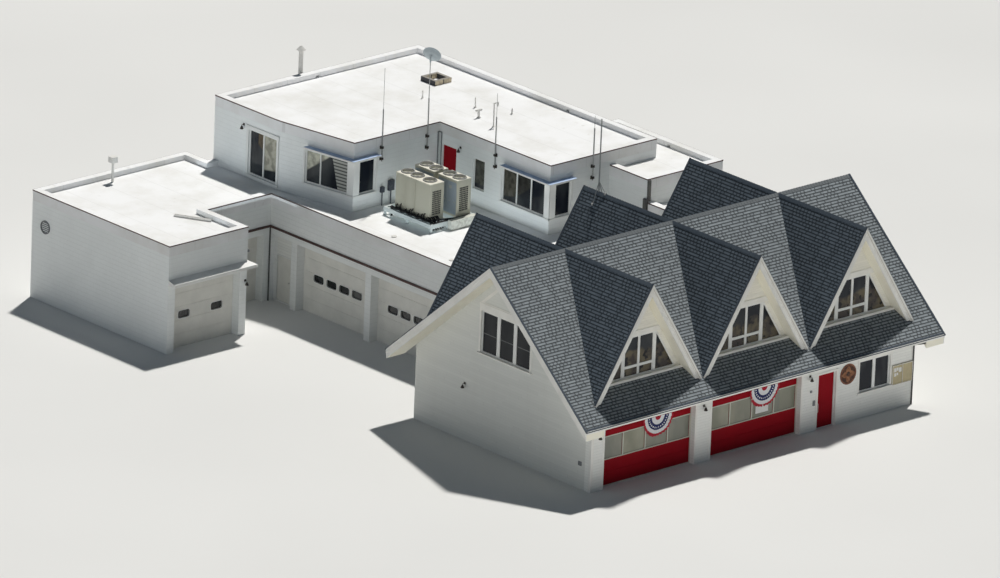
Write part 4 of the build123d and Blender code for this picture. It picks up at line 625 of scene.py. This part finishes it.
class Shape:
    """Gathers many small solids into one mesh, in metres from the hall's corner."""

    def __init__(self):
        self.verts = []
        self.faces = []

    def add(self, verts, faces):
        """Takes up points given from the hall's corner, and the faces between them."""
        start = len(self.verts)
        self.verts += [at(*v) for v in verts]
        self.faces += [tuple(start + i for i in face) for face in faces]

    def upright(self, plan, z0, z1):
        """A solid with upright sides over a plan."""
        self.loft(*([(x, y, z) for x, y in plan] for z in (z0, z1)))

    def box(self, x0, x1, y0, y1, z0, z1):
        self.upright(((x0, y0), (x1, y0), (x1, y1), (x0, y1)), z0, z1)

    def wall_box(self, wall, s0, s1, out0, out1, z0, z1):
        """A box on a wall: s runs along it, out is how far it stands off the face."""
        corners = ((s0, out0), (s1, out0), (s1, out1), (s0, out1))
        self.upright([wall_point(wall, s, out) for s, out in corners], z0, z1)

    def loft(self, *rings):
        """A closed solid through rings with the same number of points."""
        n, last = len(rings[0]), len(rings) - 1
        faces = between(n, [(k, k + 1) for k in range(last)])
        first_cap, last_cap = tuple(range(n))[::-1], tuple(last * n + i for i in range(n))
        self.add([v for ring in rings for v in ring], [first_cap, *faces, last_cap])

    def band(self, loops):
        """A closed band through loops of points, the last one joined to the first."""
        pairs = [(k, (k + 1) % len(loops)) for k in range(len(loops))]
        self.add([v for loop in loops for v in loop], between(len(loops[0]), pairs))

    def tube(self, points, radius, sides=8, closed=False):
        """A round bar along points."""
        points = [Vector(p) for p in points]
        n = len(points)
        rings = []
        for i, p in enumerate(points):
            before = points[i - 1] if i or closed else p
            after = points[(i + 1) % n] if i < n - 1 or closed else p
            along = (after - before).normalized()
            side = along.cross(Vector((0, 0, 1)))
            if side.length < 0.01:
                side = Vector((1, 0, 0))
            side.normalize()
            up = side.cross(along)
            angles = [2 * math.pi * k / sides for k in range(sides)]
            rings.append([tuple(p + radius * (math.cos(a) * side + math.sin(a) * up)) for a in angles])
        if closed:
            rings.append(rings[0])
        self.loft(*rings)

    def piece(self, name, look, slot, bevel=0.0, smooth=False):
        """Makes the mesh, which rides on the building itself."""
        mesh = bpy.data.meshes.new(name)
        mesh.from_pydata(self.verts, [], self.faces)
        mesh.validate()
        bm = bmesh.new()
        bm.from_mesh(mesh)
        bmesh.ops.recalc_face_normals(bm, faces=bm.faces)
        bm.to_mesh(mesh)
        bm.free()
        for face in mesh.polygons:
            face.use_smooth = smooth
        mesh.materials.append(looks[look])
        made = link(name, mesh)
        if bevel:
            edge = made.modifiers.new("edge", "BEVEL")
            edge.width = bevel
            edge.segments = 2
            edge.limit_method = "ANGLE"
        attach(made, "root")


def wall_point(wall, s, out):
    """The place s along a wall and out from its face."""
    (x, y), (ax, ay) = wall
    length = math.hypot(ax, ay)
    ax, ay = ax / length, ay / length
    nx, ny = (ay, -ax) if ax > 0.5 else (-ay, ax)
    return x + s * ax + out * nx, y + s * ay + out * ny


# Walls of the upper storey at its two corner windows, each a start and a direction
corner_west = (6.369, 22.468)
corner_front = (ends("upper_side_walls", "x")[0], ends("upper_cross_walls", "y")[0])
west_wall = (corner_west, (-0.704, 4.165))
south_wall = (corner_west, (1, 0))
notch_wall = (corner_front, (0, 1))
front_wall = (corner_front, (1, 0))
cap_pitch = 0.16


def cap_run(shape, start, end, half, rise):
    """Overlapping cap shingles along a ridge, each with its near end lifted a little."""
    start, end = Vector(start), Vector(end)
    along = (end - start).normalized()
    side = Vector((along.y, -along.x, 0))
    count = int((end - start).length / cap_pitch)
    pitch = (end - start).length / count
    for i in range(count):
        rings = []
        for reach, lift in ((0.0, 0.020), (pitch * 1.15, 0.006)):
            p = start + along * (i * pitch + reach)
            p.z += lift
            drop = Vector((0, 0, -half * rise))
            thin = Vector((0, 0, -0.012))
            right, left = p + side * half + drop, p - side * half + drop
            rings.append([tuple(v) for v in (p, right, right + thin, p + thin, left + thin, left)])
        shape.loft(*rings)


def ridge_caps():
    """Cap shingles on the main ridge and on the three cross ridges."""
    shape = Shape()
    cap_run(shape, (-1.0, ridge_y, ridge_z), (hall_length + 1.0, ridge_y, ridge_z), 0.13, main_rise)
    shape.piece("main_ridge_cap_shingles", "ridge_pale", "roof_shingle")
    shape = Shape()
    for centre in gables:
        for outer, inner in ((0.02, ridge_y - 0.06), (hall_depth - 0.02, ridge_y + 0.06)):
            cap_run(shape, (centre, outer, ridge_z), (centre, inner, ridge_z), 0.085, cross_rise)
    shape.piece("cross_ridge_cap_shingles", "ridge_shade", "roof_shingle")


def slope_strip(shape, points, axis, a0, a1, thick=0.028, inner=0.004):
    """A thin edge that follows a roof line; points are (place, height) along the other axis."""
    for (p, z), (q, w) in zip(points, points[1:]):
        low = [(p, z - inner), (q, w - inner), (q, w + thick), (p, z + thick)]
        if axis == "y":
            shape.loft([(u, a0, v) for u, v in low], [(u, a1, v) for u, v in low])
        else:
            shape.loft([(a0, u, v) for u, v in low], [(a1, u, v) for u, v in low])


def gable_line(centre, foot):
    """A cross gable's roof line, from a foot height up to the ridge and down again."""
    reach = (ridge_z - foot) / cross_rise
    return [(centre - reach, foot), (centre, ridge_z), (centre + reach, foot)]


def shingle_edges():
    """Overhanging shingle edges on the rake boards and along the eaves."""
    shape = Shape()
    for centre in gables:
        slope_strip(shape, gable_line(centre, 3.82), "y", -0.008, 0.09)
        # At the back, the left gable comes down to the eaves and the others to the low roof
        foot = main_rise * 0.77 + eave_z if centre == gables[0] else low_roof + 0.02
        slope_strip(shape, gable_line(centre, foot), "y", hall_depth - 0.09, hall_depth + 0.008)
    front, back = -0.775, hall_depth + 0.775
    foot, end, low_back = eave_z - 0.04, 1.07, 10.0
    ridge = (ridge_y, ridge_z)
    left_line = [(front, foot), ridge, (back, foot)]
    slope_strip(shape, left_line, "x", -end - 0.002, -0.98)
    right_line = [(front, foot), ridge, (low_back, ridge_z - main_rise * (low_back - ridge_y))]
    slope_strip(shape, right_line, "x", hall_length + 0.98, hall_length + end + 0.002)
    eave = [(front - 0.012, eave_z - 0.052), (front + 0.1, eave_z + 0.045)]
    slope_strip(shape, eave, "x", -end, hall_length + end, 0.022)
    back_eave = [(back - 0.1, eave_z + 0.045), (back + 0.012, eave_z - 0.052)]
    slope_strip(shape, back_eave, "x", -end, 4.75, 0.022)
    shape.piece("shingle_edges", "ridge", "roof_shingle")


def door_rows():
    """Cream frames round the pane rows, and the seals of the front doors."""
    rows, seals = Shape(), Shape()
    y0, y1 = door_face - 0.014, door_face + 0.004
    pane_low, pane_high, post_pitch, post_half = 1.2, 2.17, 1.2625, 0.033
    seal, seal_front, seal_back = 0.03, door_face - 0.04, door_face - 0.002
    for start in bays:
        end = start + bay_width
        rows.box(start + 0.004, end - 0.004, y0, y1, pane_low - 0.045, pane_low + 0.005)
        rows.box(start + 0.004, end - 0.004, y0, y1, pane_high - 0.005, pane_high + 0.035)
        for i in range(5):
            x = start + 0.035 + i * post_pitch
            rows.box(x - post_half, x + post_half, y0 + 0.002, y1, pane_low, pane_high)
        seals.box(start, end, seal_front - 0.005, seal_back - 0.003, 0.0, 0.05)
        for x in (start, end - seal):
            seals.box(x, x + seal, seal_front, seal_back, 0.0, door_top)
        seals.box(start, end, seal_front, seal_back, door_top - 0.04, door_top)
    rows.piece("door_pane_frames", "cream", "window_frame", bevel=0.003)
    seals.piece("door_seals", "seal", "white_trim", bevel=0.004)


def bunting():
    """Pleated half-round fans with a drooping corner, hung from the door headers."""
    pleats, rings = 16, 14
    for index, (cx, y) in enumerate(bunting_places):
        mesh = bpy.data.meshes.new("bunting_fan")
        verts, faces = [], []
        columns = pleats * 6
        for r in range(rings + 1):
            k = r / rings
            for c in range(columns + 1):
                turn = math.pi * (1 + c / columns)
                wave = math.sin(pleats * 2 * math.pi * c / columns)
                radius = bunting_size * max(k, 0.03) * (1 + 0.012 * wave * k)
                droop = 0.05 * k * k * math.exp(-((turn - 4.25 + 0.25 * index) / 0.28) ** 2)
                x = cx + radius * math.cos(turn)
                z = bunting_top + radius * math.sin(turn) - droop
                z = max(z, bunting_top - bunting_size - 0.012)
                depth = y - 0.030 - 0.014 * k * wave - 0.012 * k * math.sin(c * 0.21 + index)
                verts.append(at(x, depth, z))
        for r in range(rings):
            for c in range(columns):
                a = r * (columns + 1) + c
                faces.append((a, a + 1, a + columns + 2, a + columns + 1))
        mesh.from_pydata(verts, [], faces)
        for face in mesh.polygons:
            face.use_smooth = True
        mesh.materials.append(looks["cloth"])
        fan = link(f"bunting_fan_{index + 1}", mesh)
        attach(fan, "root")
        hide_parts("bunting")


def papers():
    """Blank papers on the notice board and on one door, and the board's light frame."""
    sheets = Shape()
    for x, z, w, h in (
        (17.30, 1.66, 0.13, 0.18),
        (17.45, 1.70, 0.10, 0.14),
        (17.32, 1.46, 0.11, 0.15),
        (17.58, 1.62, 0.15, 0.2),
        (17.46, 1.50, 0.08, 0.11),
    ):
        x0, x1, top = x - 0.003, x + w, z + h
        sheets.loft(
            [(x, -0.036, z), (x1, -0.036, z + 0.004), (x1, -0.036, top), (x0, -0.036, top)],
            [(x, -0.041, z + 0.002), (x1, -0.045, z + 0.004), (x1, -0.039, top), (x0, -0.039, top)],
        )
    x0, x1, z0, z1 = 9.57, 10.30, 1.36, 1.76
    y = door_face - 0.005
    sheets.loft(
        [(x0, y, z0), (x1, y, z0), (x1, y, z1), (x0, y, z1)],
        [(x0, y - 0.006, z0 + 0.004), (x1, y - 0.009, z0), (x1, y - 0.004, z1), (x0, y - 0.004, z1)],
    )
    sheets.piece("blank_papers", "paper", "white_trim")
    rim = Shape()
    (left, right), (low, high) = [ends("notice_board", axis) for axis in "xz"]
    middle = (left + right) / 2
    for a, b in ((left, left + 0.03), (middle - 0.014, middle + 0.014), (right - 0.03, right)):
        rim.box(a, b, -0.056, -0.048, low, high)
    for a, b in ((low, low + 0.03), (high - 0.03, high)):
        rim.box(left, right, -0.0555, -0.048, a, b)
    rim.piece("board_rim", "steel", "galvanised", bevel=0.002)


def slider_casing():
    """Wide flat trim round the sliding door of the upper storey, with its sill and sash rails."""
    shape = Shape()
    face = ends("upper_west_wall", "x")[0]
    y0, y1, z0, z1 = 26.70, 28.55, 4.86, 6.90
    side, reach, low, top, stile = 0.13, 0.15, z0 - 0.1, z1 + 0.17, 0.05
    shape.box(face - 0.022, face, y0 - side, y0, low, top)
    shape.box(face - 0.022, face, y1, y1 + side, low, top)
    shape.box(face - 0.026, face, y0 - reach, y1 + reach, z1, top)
    shape.box(face - 0.06, face, y0 - reach, y1 + reach, low, z0)
    for y in ((y0 + y1) / 2 - stile, y0 + 0.03, y1 - 0.08):
        shape.box(face + 0.05, face + 0.10, y, y + stile, z0 + stile, z1 - stile)
    shape.piece("slider_casing", "frame_white", "white_trim", bevel=0.004)


def corner_window_trim():
    """Posts, sills and heads round the two corner windows."""
    shape = Shape()
    low, high, thick = 5.38, 6.88, 0.018
    for long_wall, side_wall, long_reach, side_reach in (
        (west_wall, south_wall, 2.70, 1.27),
        (notch_wall, front_wall, 3.08, 1.25),
    ):
        for wall, reach in ((long_wall, long_reach), (side_wall, side_reach)):
            shape.wall_box(wall, -thick, 0.335, 0.0, thick, low - 0.05, high + 0.11)
            shape.wall_box(wall, reach, reach + 0.09, 0.0, thick, low - 0.05, high + 0.02)
            shape.wall_box(wall, -0.045, reach + 0.11, 0.0, 0.045, low - 0.07, low - 0.005)
            shape.wall_box(wall, -thick, reach + 0.05, 0.0, thick - 0.002, high, high + 0.1)
    shape.piece("corner_window_trim", "frame_white", "white_trim", bevel=0.004)


# Air units on the low roof: each one's near left corner, its length and its fans
units = [(7.54, 19.80, 1.24, 2), (7.54, 18.85, 0.93, 1), (8.84, 20.05, 1.24, 2), (8.84, 18.56, 1.24, 2)]
unit_depth = 0.8
unit_low, unit_high = ends("air_units", "z")


def fan_guards():
    """Raised rings and domed wire guards over every fan."""
    rings, wires = Shape(), Shape()
    turns = [2 * math.pi * k / 40 for k in range(40)]
    profile = ((0.268, 0.0), (0.268, 0.052), (0.30, 0.052), (0.318, 0.0))
    guard_radius, guard_low, guard_rise = 0.27, 0.055, 0.05
    for x, y, length, fans in units:
        for i in range(fans):
            cx, cy = x + unit_depth / 2, y + (i + 0.5) * length / fans

            def around(r, a, z):
                return (cx + r * math.cos(a), cy + r * math.sin(a), unit_high + z)

            def dome(r):
                return guard_low + guard_rise * math.cos(min(1, r / guard_radius) * math.pi / 2)

            rings.band([[around(r, a, z) for a in turns] for r, z in profile])
            for j in range(1, 7):
                r = guard_radius * j / 6.5
                wires.tube([around(r, a, dome(r)) for a in turns[::2]], 0.0035, 4, closed=True)
            for a in turns[::5]:
                spoke = [0.02 + 0.265 * j / 7 for j in range(8)]
                wires.tube([around(r, a, dome(r)) for r in spoke], 0.004, 4)
    rings.piece("fan_rings", "guard_grey", "unit_metal", smooth=True)
    wires.piece("fan_wire_guards", "guard_grey", "galvanised")


def unit_fins():
    """Finned panels on the left sides of the two right air units, each with a middle post."""
    fins, pitch, wide = Shape(), 0.035, 0.009
    for x, y, length, _ in units[2:]:
        y0, y1, z0, z1 = y + 0.05, y + length - 0.05, unit_low + 0.1, unit_high - 0.12
        plate, middle = x - 0.004, (y0 + y1) / 2
        fins.box(plate, x, y0, y1, z0, z1)
        for i in range(int((y1 - y0) / pitch)):
            fins.box(x - 0.012, plate, y0 + pitch * i, y0 + pitch * i + wide, z0, z1)
        fins.box(x - 0.016, plate, middle - 0.02, middle + 0.02, z0, z1)
    fins.piece("unit_fin_panels", "fin_grey", "unit_metal")


def unit_grilles():
    """Dark coils behind wire grids, panel joints, handles and blank plates on the air units."""
    coils, wires, details = Shape(), Shape(), Shape()
    z0, z1, inset, sunk, column, row = unit_low + 0.23, unit_high - 0.33, 0.15, 0.025, 0.075, 0.09
    rows = int((z1 - z0) / row)
    for x, y, length, fans in units:
        out, end = x + unit_depth, y + length
        for wall, run, side in (
            (((x + inset, y + sunk), (1, 0)), unit_depth - 2 * inset, 1),
            (((out - sunk, y + inset), (0, 1)), length - 2 * inset, -1),
        ):
            near, far = side * 0.006, side * 0.018
            coils.wall_box(wall, 0, run, 0, near, z0, z1)
            columns = int(run / column)
            for i in range(columns + 1):
                s = run * i / columns
                wires.wall_box(wall, s - 0.005, s + 0.005, near, far, z0, z1)
            for i in range(rows + 1):
                z = z0 + (z1 - z0) * i / rows
                wires.wall_box(wall, 0, run, near, far, z - 0.008, z + 0.008)
        for grow, low, high in (
            (0.004, unit_high - 0.07, unit_high - 0.055),
            (0.012, unit_low - 0.01, unit_low + 0.05),
        ):
            details.box(x - grow, out + grow, y - grow, end + grow, low, high)
        for i in range(fans):
            cy = y + (i + 0.5) * length / fans
            # Two handles and, higher up, a blank plate
            for off, left, right, low, high in (
                (0.010, -0.22, -0.12, 0.62, 0.66),
                (0.010, 0.12, 0.22, 0.62, 0.66),
                (0.006, 0.02, 0.20, 1.22, 1.36),
            ):
                details.box(x - off, x, cy + left, cy + right, unit_low + low, unit_low + high)
    coils.piece("unit_coils", "coil", "dark_metal")
    wires.piece("unit_wire_grids", "unit_ivory", "unit_metal")
    details.piece("unit_panels", "unit_ivory", "unit_metal", bevel=0.003)


def unit_pipes():
    """Insulated lines, risers, valves and loose loops at the foot of the air units."""
    shape = Shape()
    x = units[0][0]
    low = unit_low + 0.03
    for k, y in enumerate((18.93, 19.10, 19.26, 19.50, 19.88, 20.02, 20.30, 20.62, 20.88)):
        lean = 0.03 * math.sin(3.1 * k)
        rise = 0.12 + 0.06 * (k * 2 % 3)
        riser = [
            (x - 0.07, y, low),
            (x - 0.085, y + lean, low + rise * 0.7),
            (x - 0.06, y + lean, low + rise),
            (x + 0.004, y + lean, low + rise + 0.02),
        ]
        shape.tube(riser, 0.026)
        shape.tube([(x - 0.10, y + 0.03, low + 0.02), (x - 0.03, y + 0.03, low + 0.03)], 0.045)
    for k in range(3):
        line = []
        for i in range(25):
            y = 18.72 + 0.10 * i
            sway = 0.022 * math.sin(1.9 * i + 2.1 * k)
            z = low + 0.035 + 0.03 * (k == 1) + 0.02 * math.sin(1.3 * i + k)
            line.append((x - 0.07 - 0.055 * k + sway, y, z))
        shape.tube(line, 0.034)
    front = units[1][1]
    for k in range(5):
        px = x + 0.11 * k
        py = front - 0.13 - 0.035 * (k % 2)
        line = [
            (px, front + 0.02, unit_low + 0.17),
            (px, py + 0.06, unit_low + 0.16),
            (px + 0.02, py, unit_low + 0.03),
            (px + 0.03, py - 0.04, unit_low - 0.16),
            (px + 0.04 + 0.03 * k, py - 0.14, low_roof + 0.04),
        ]
        shape.tube(line, 0.033)
    # Loose loops over the frame's near corner
    for k in range(3):
        loop = []
        px, py = x + 0.05 + 0.13 * k, front - 0.17 - 0.03 * k
        reach = 0.13 + 0.03 * k
        for i in range(15):
            a = 2 * math.pi * i / 14
            loop.append((px + reach * math.cos(a), py, unit_low - 0.02 + 0.8 * reach * math.sin(a)))
        shape.tube(loop, 0.024)
    turns = ((0.1, 0.13, 0.03), (0.5, 0.15, 0.035), (1.2, 0.36, 0.03))
    shape.tube([(x + dx, front - dy, unit_low + dz) for dx, dy, dz in turns], 0.032)
    shape.piece("unit_pipe_risers", "black_foam", "dark_metal", smooth=True)


def mast_clamps():
    """Dark clamps where the masts are held on the upper walls."""
    shape = Shape()
    for wall in (
        ((7.89, corner_west[1]), (1, 0)),
        ((10.50, corner_west[1]), (1, 0)),
        ((corner_front[0], 18.80), (0, 1)),
        ((13.65, corner_front[1]), (1, 0)),
    ):
        for z in (6.78, 7.29):
            shape.wall_box(wall, -0.075, 0.075, 0.0, 0.03, z - 0.045, z + 0.105)
            shape.wall_box(wall, -0.055, 0.055, 0.03, 0.125, z - 0.02, z + 0.08)
            shape.wall_box(wall, -0.012, 0.012, 0.125, 0.16, z + 0.01, z + 0.05)
    shape.piece("mast_clamps", "bronze", "dark_metal", bevel=0.004)


def rounded_ring(shape, wall, s, z, width, height, radius, grow, out):
    """A flat rounded ring on a wall round a window of the given size."""
    loops = []
    for reach, off in ((0.0, 0.0), (0.0, out), (grow, out), (grow, 0.0)):
        loop = []
        for k in range(4):
            cx = (1, -1, -1, 1)[k] * (width / 2 - radius)
            cz = (1, 1, -1, -1)[k] * (height / 2 - radius)
            for j in range(5):
                a = math.pi / 2 * (k + j / 4)
                px, py = wall_point(wall, s + cx + (radius + reach) * math.cos(a), off)
                loop.append((px, py, z + cz + (radius + reach) * math.sin(a)))
        loops.append(loop)
    shape.band(loops)


def rear_window_rims():
    """Light outer rims and dark gaskets round the small rear door windows."""
    rims, gaskets = Shape(), Shape()
    places = []
    for start in (19.67, ends("rear_garage_doors", "y")[0]):
        wall = ((5.19, start), (0, 1))
        places += [(wall, 2.225 + (i - 1.5) * 0.83, 1.64) for i in range(4)]
    wing = ((-1.11, 23.64), (1, 0))
    places += [(wing, side * 0.92, 1.46) for side in (-1, 1)]
    for wall, s, z in places:
        rounded_ring(gaskets, wall, s, z, 0.60, 0.30, 0.08, 0.022, 0.008)
        rounded_ring(rims, wall, s, z, 0.644, 0.344, 0.10, 0.028, 0.014)
    gaskets.piece("rear_window_gaskets", "black", "dark_metal")
    rims.piece("rear_window_rims", "frame_white", "white_door")


def rake_mouldings():
    """A raised moulding along the outer edge of the cross gables' rakes, with a darker strip under it
    painted as its shadow gap.
    """
    raised, gap = Shape(), Shape()
    for centre in gables:
        line = gable_line(centre, 3.86)
        slope_strip(raised, line, "y", -0.022, 0.002, -0.012, 0.16)
        # A thin darker strip under the moulding, painted as the shade in its groove
        slope_strip(gap, line, "y", -0.003, 0.002, -0.155, 0.205)
    raised.piece("rake_mouldings", "trim", "white_trim")
    gap.piece("rake_painted_shadow_strips", "seal", "white_trim")


ridge_caps()
shingle_edges()
rake_mouldings()
door_rows()
bunting()
papers()
slider_casing()
corner_window_trim()
fan_guards()
unit_fins()
unit_grilles()
unit_pipes()
mast_clamps()
rear_window_rims()


# Floor, light and camera

def stage():
    """A wide pale floor."""
    size = 400
    mesh = bpy.data.meshes.new("floor")
    corners = [(-size, -size, 0), (size, -size, 0), (size, size, 0), (-size, size, 0)]
    mesh.from_pydata(corners, [], [(0, 1, 2, 3)])
    floor = link("floor", mesh)
    t = Tree("floor", rough=0.9, specular=0.1)
    color = t.mix(t.clamp(t.noise(0.05, 2.0), 0.3, 0.7), (0.70, 0.70, 0.69), (0.74, 0.74, 0.73))
    mesh.materials.append(t.done(color))


def lamp(name, strength, spread, color, towards):
    """A sun that stands in the given direction, its disc so many degrees wide."""
    data = bpy.data.lights.new(name, "SUN")
    data.energy = strength
    data.angle = math.radians(spread)
    data.color = color
    made = link(name, data)
    made.rotation_euler = Vector(towards).to_track_quat("Z", "Y").to_euler()


def light():
    """A blue sky, the sun, and soft fills for the light that ground and roofs throw back."""
    world = bpy.data.worlds.new("sky")
    bpy.context.scene.world = world
    world.use_nodes = True
    back = world.node_tree.nodes["Background"]
    back.inputs["Color"].default_value = (0.60, 0.79, 1.0, 1)
    back.inputs["Strength"].default_value = 0.095
    lamp("key", 3.45, 2.5, (1.0, 0.975, 0.93), (0.43, 0.22, 1.0))
    lamp("side_fill", 0.34, 40.0, (0.97, 0.99, 1.0), (-1.0, -0.35, 0.10))
    # A strip on the ground before the shaded front, below the plane of its roof, and low
    # sheets over the flat roofs that stand for the glow of their white roofing on the walls
    for name, place, size, power, color in (
        ("front_fill", (9.0, -3.6, 0.1), (40, 1.5), 420, (1.0, 0.99, 0.96)),
        ("wing_fill", (1.4, 27.7, low_roof + 0.05), (7.6, 7.0), 95, (0.84, 0.94, 1.0)),
        ("roof_fill", (11.8, 26.6, 7.62), (10.4, 7.8), 90, (1.0, 0.97, 0.95)),
        ("deck_fill", (8.2, 18.2, low_roof + 0.05), (5.6, 7.6), 120, (0.84, 0.94, 1.0)),
    ):
        data = bpy.data.lights.new(name, "AREA")
        data.shape = "RECTANGLE"
        data.size, data.size_y = size
        data.energy = power
        data.color = color
        data.specular_factor = 0.0
        sheet = link(name, data)
        sheet.location = at(*place)
        sheet.rotation_euler = (math.pi, 0, 0)
        sheet.visible_camera = False
        sheet.visible_glossy = False


camera_turns = (42.64, 19.498, 2.338)
camera_place = (-343.0019, -366.4920, 186.5553)
camera_lens = 464.15


def camera():
    """The camera as it was solved from the photo: far off, through a long lens."""
    azimuth, elevation, roll = [math.radians(turn) for turn in camera_turns]
    ahead = Vector((
        math.sin(azimuth) * math.cos(elevation),
        math.cos(azimuth) * math.cos(elevation),
        -math.sin(elevation),
    ))
    right = Vector((math.cos(azimuth), -math.sin(azimuth), 0))
    up = right.cross(ahead)
    side = math.cos(roll) * right + math.sin(roll) * up
    head = math.cos(roll) * up - math.sin(roll) * right
    data = bpy.data.cameras.new("camera")
    data.lens = camera_lens
    data.sensor_width = 36
    data.clip_start = 10
    data.clip_end = 2000
    view = link("camera", data)
    turn = Matrix((side, head, -ahead)).transposed().to_4x4()
    view.matrix_world = Matrix.Translation(at(*camera_place)) @ turn
    bpy.context.scene.camera = view


stage()
light()
camera()
bpy.context.scene.view_settings.view_transform = "Standard"
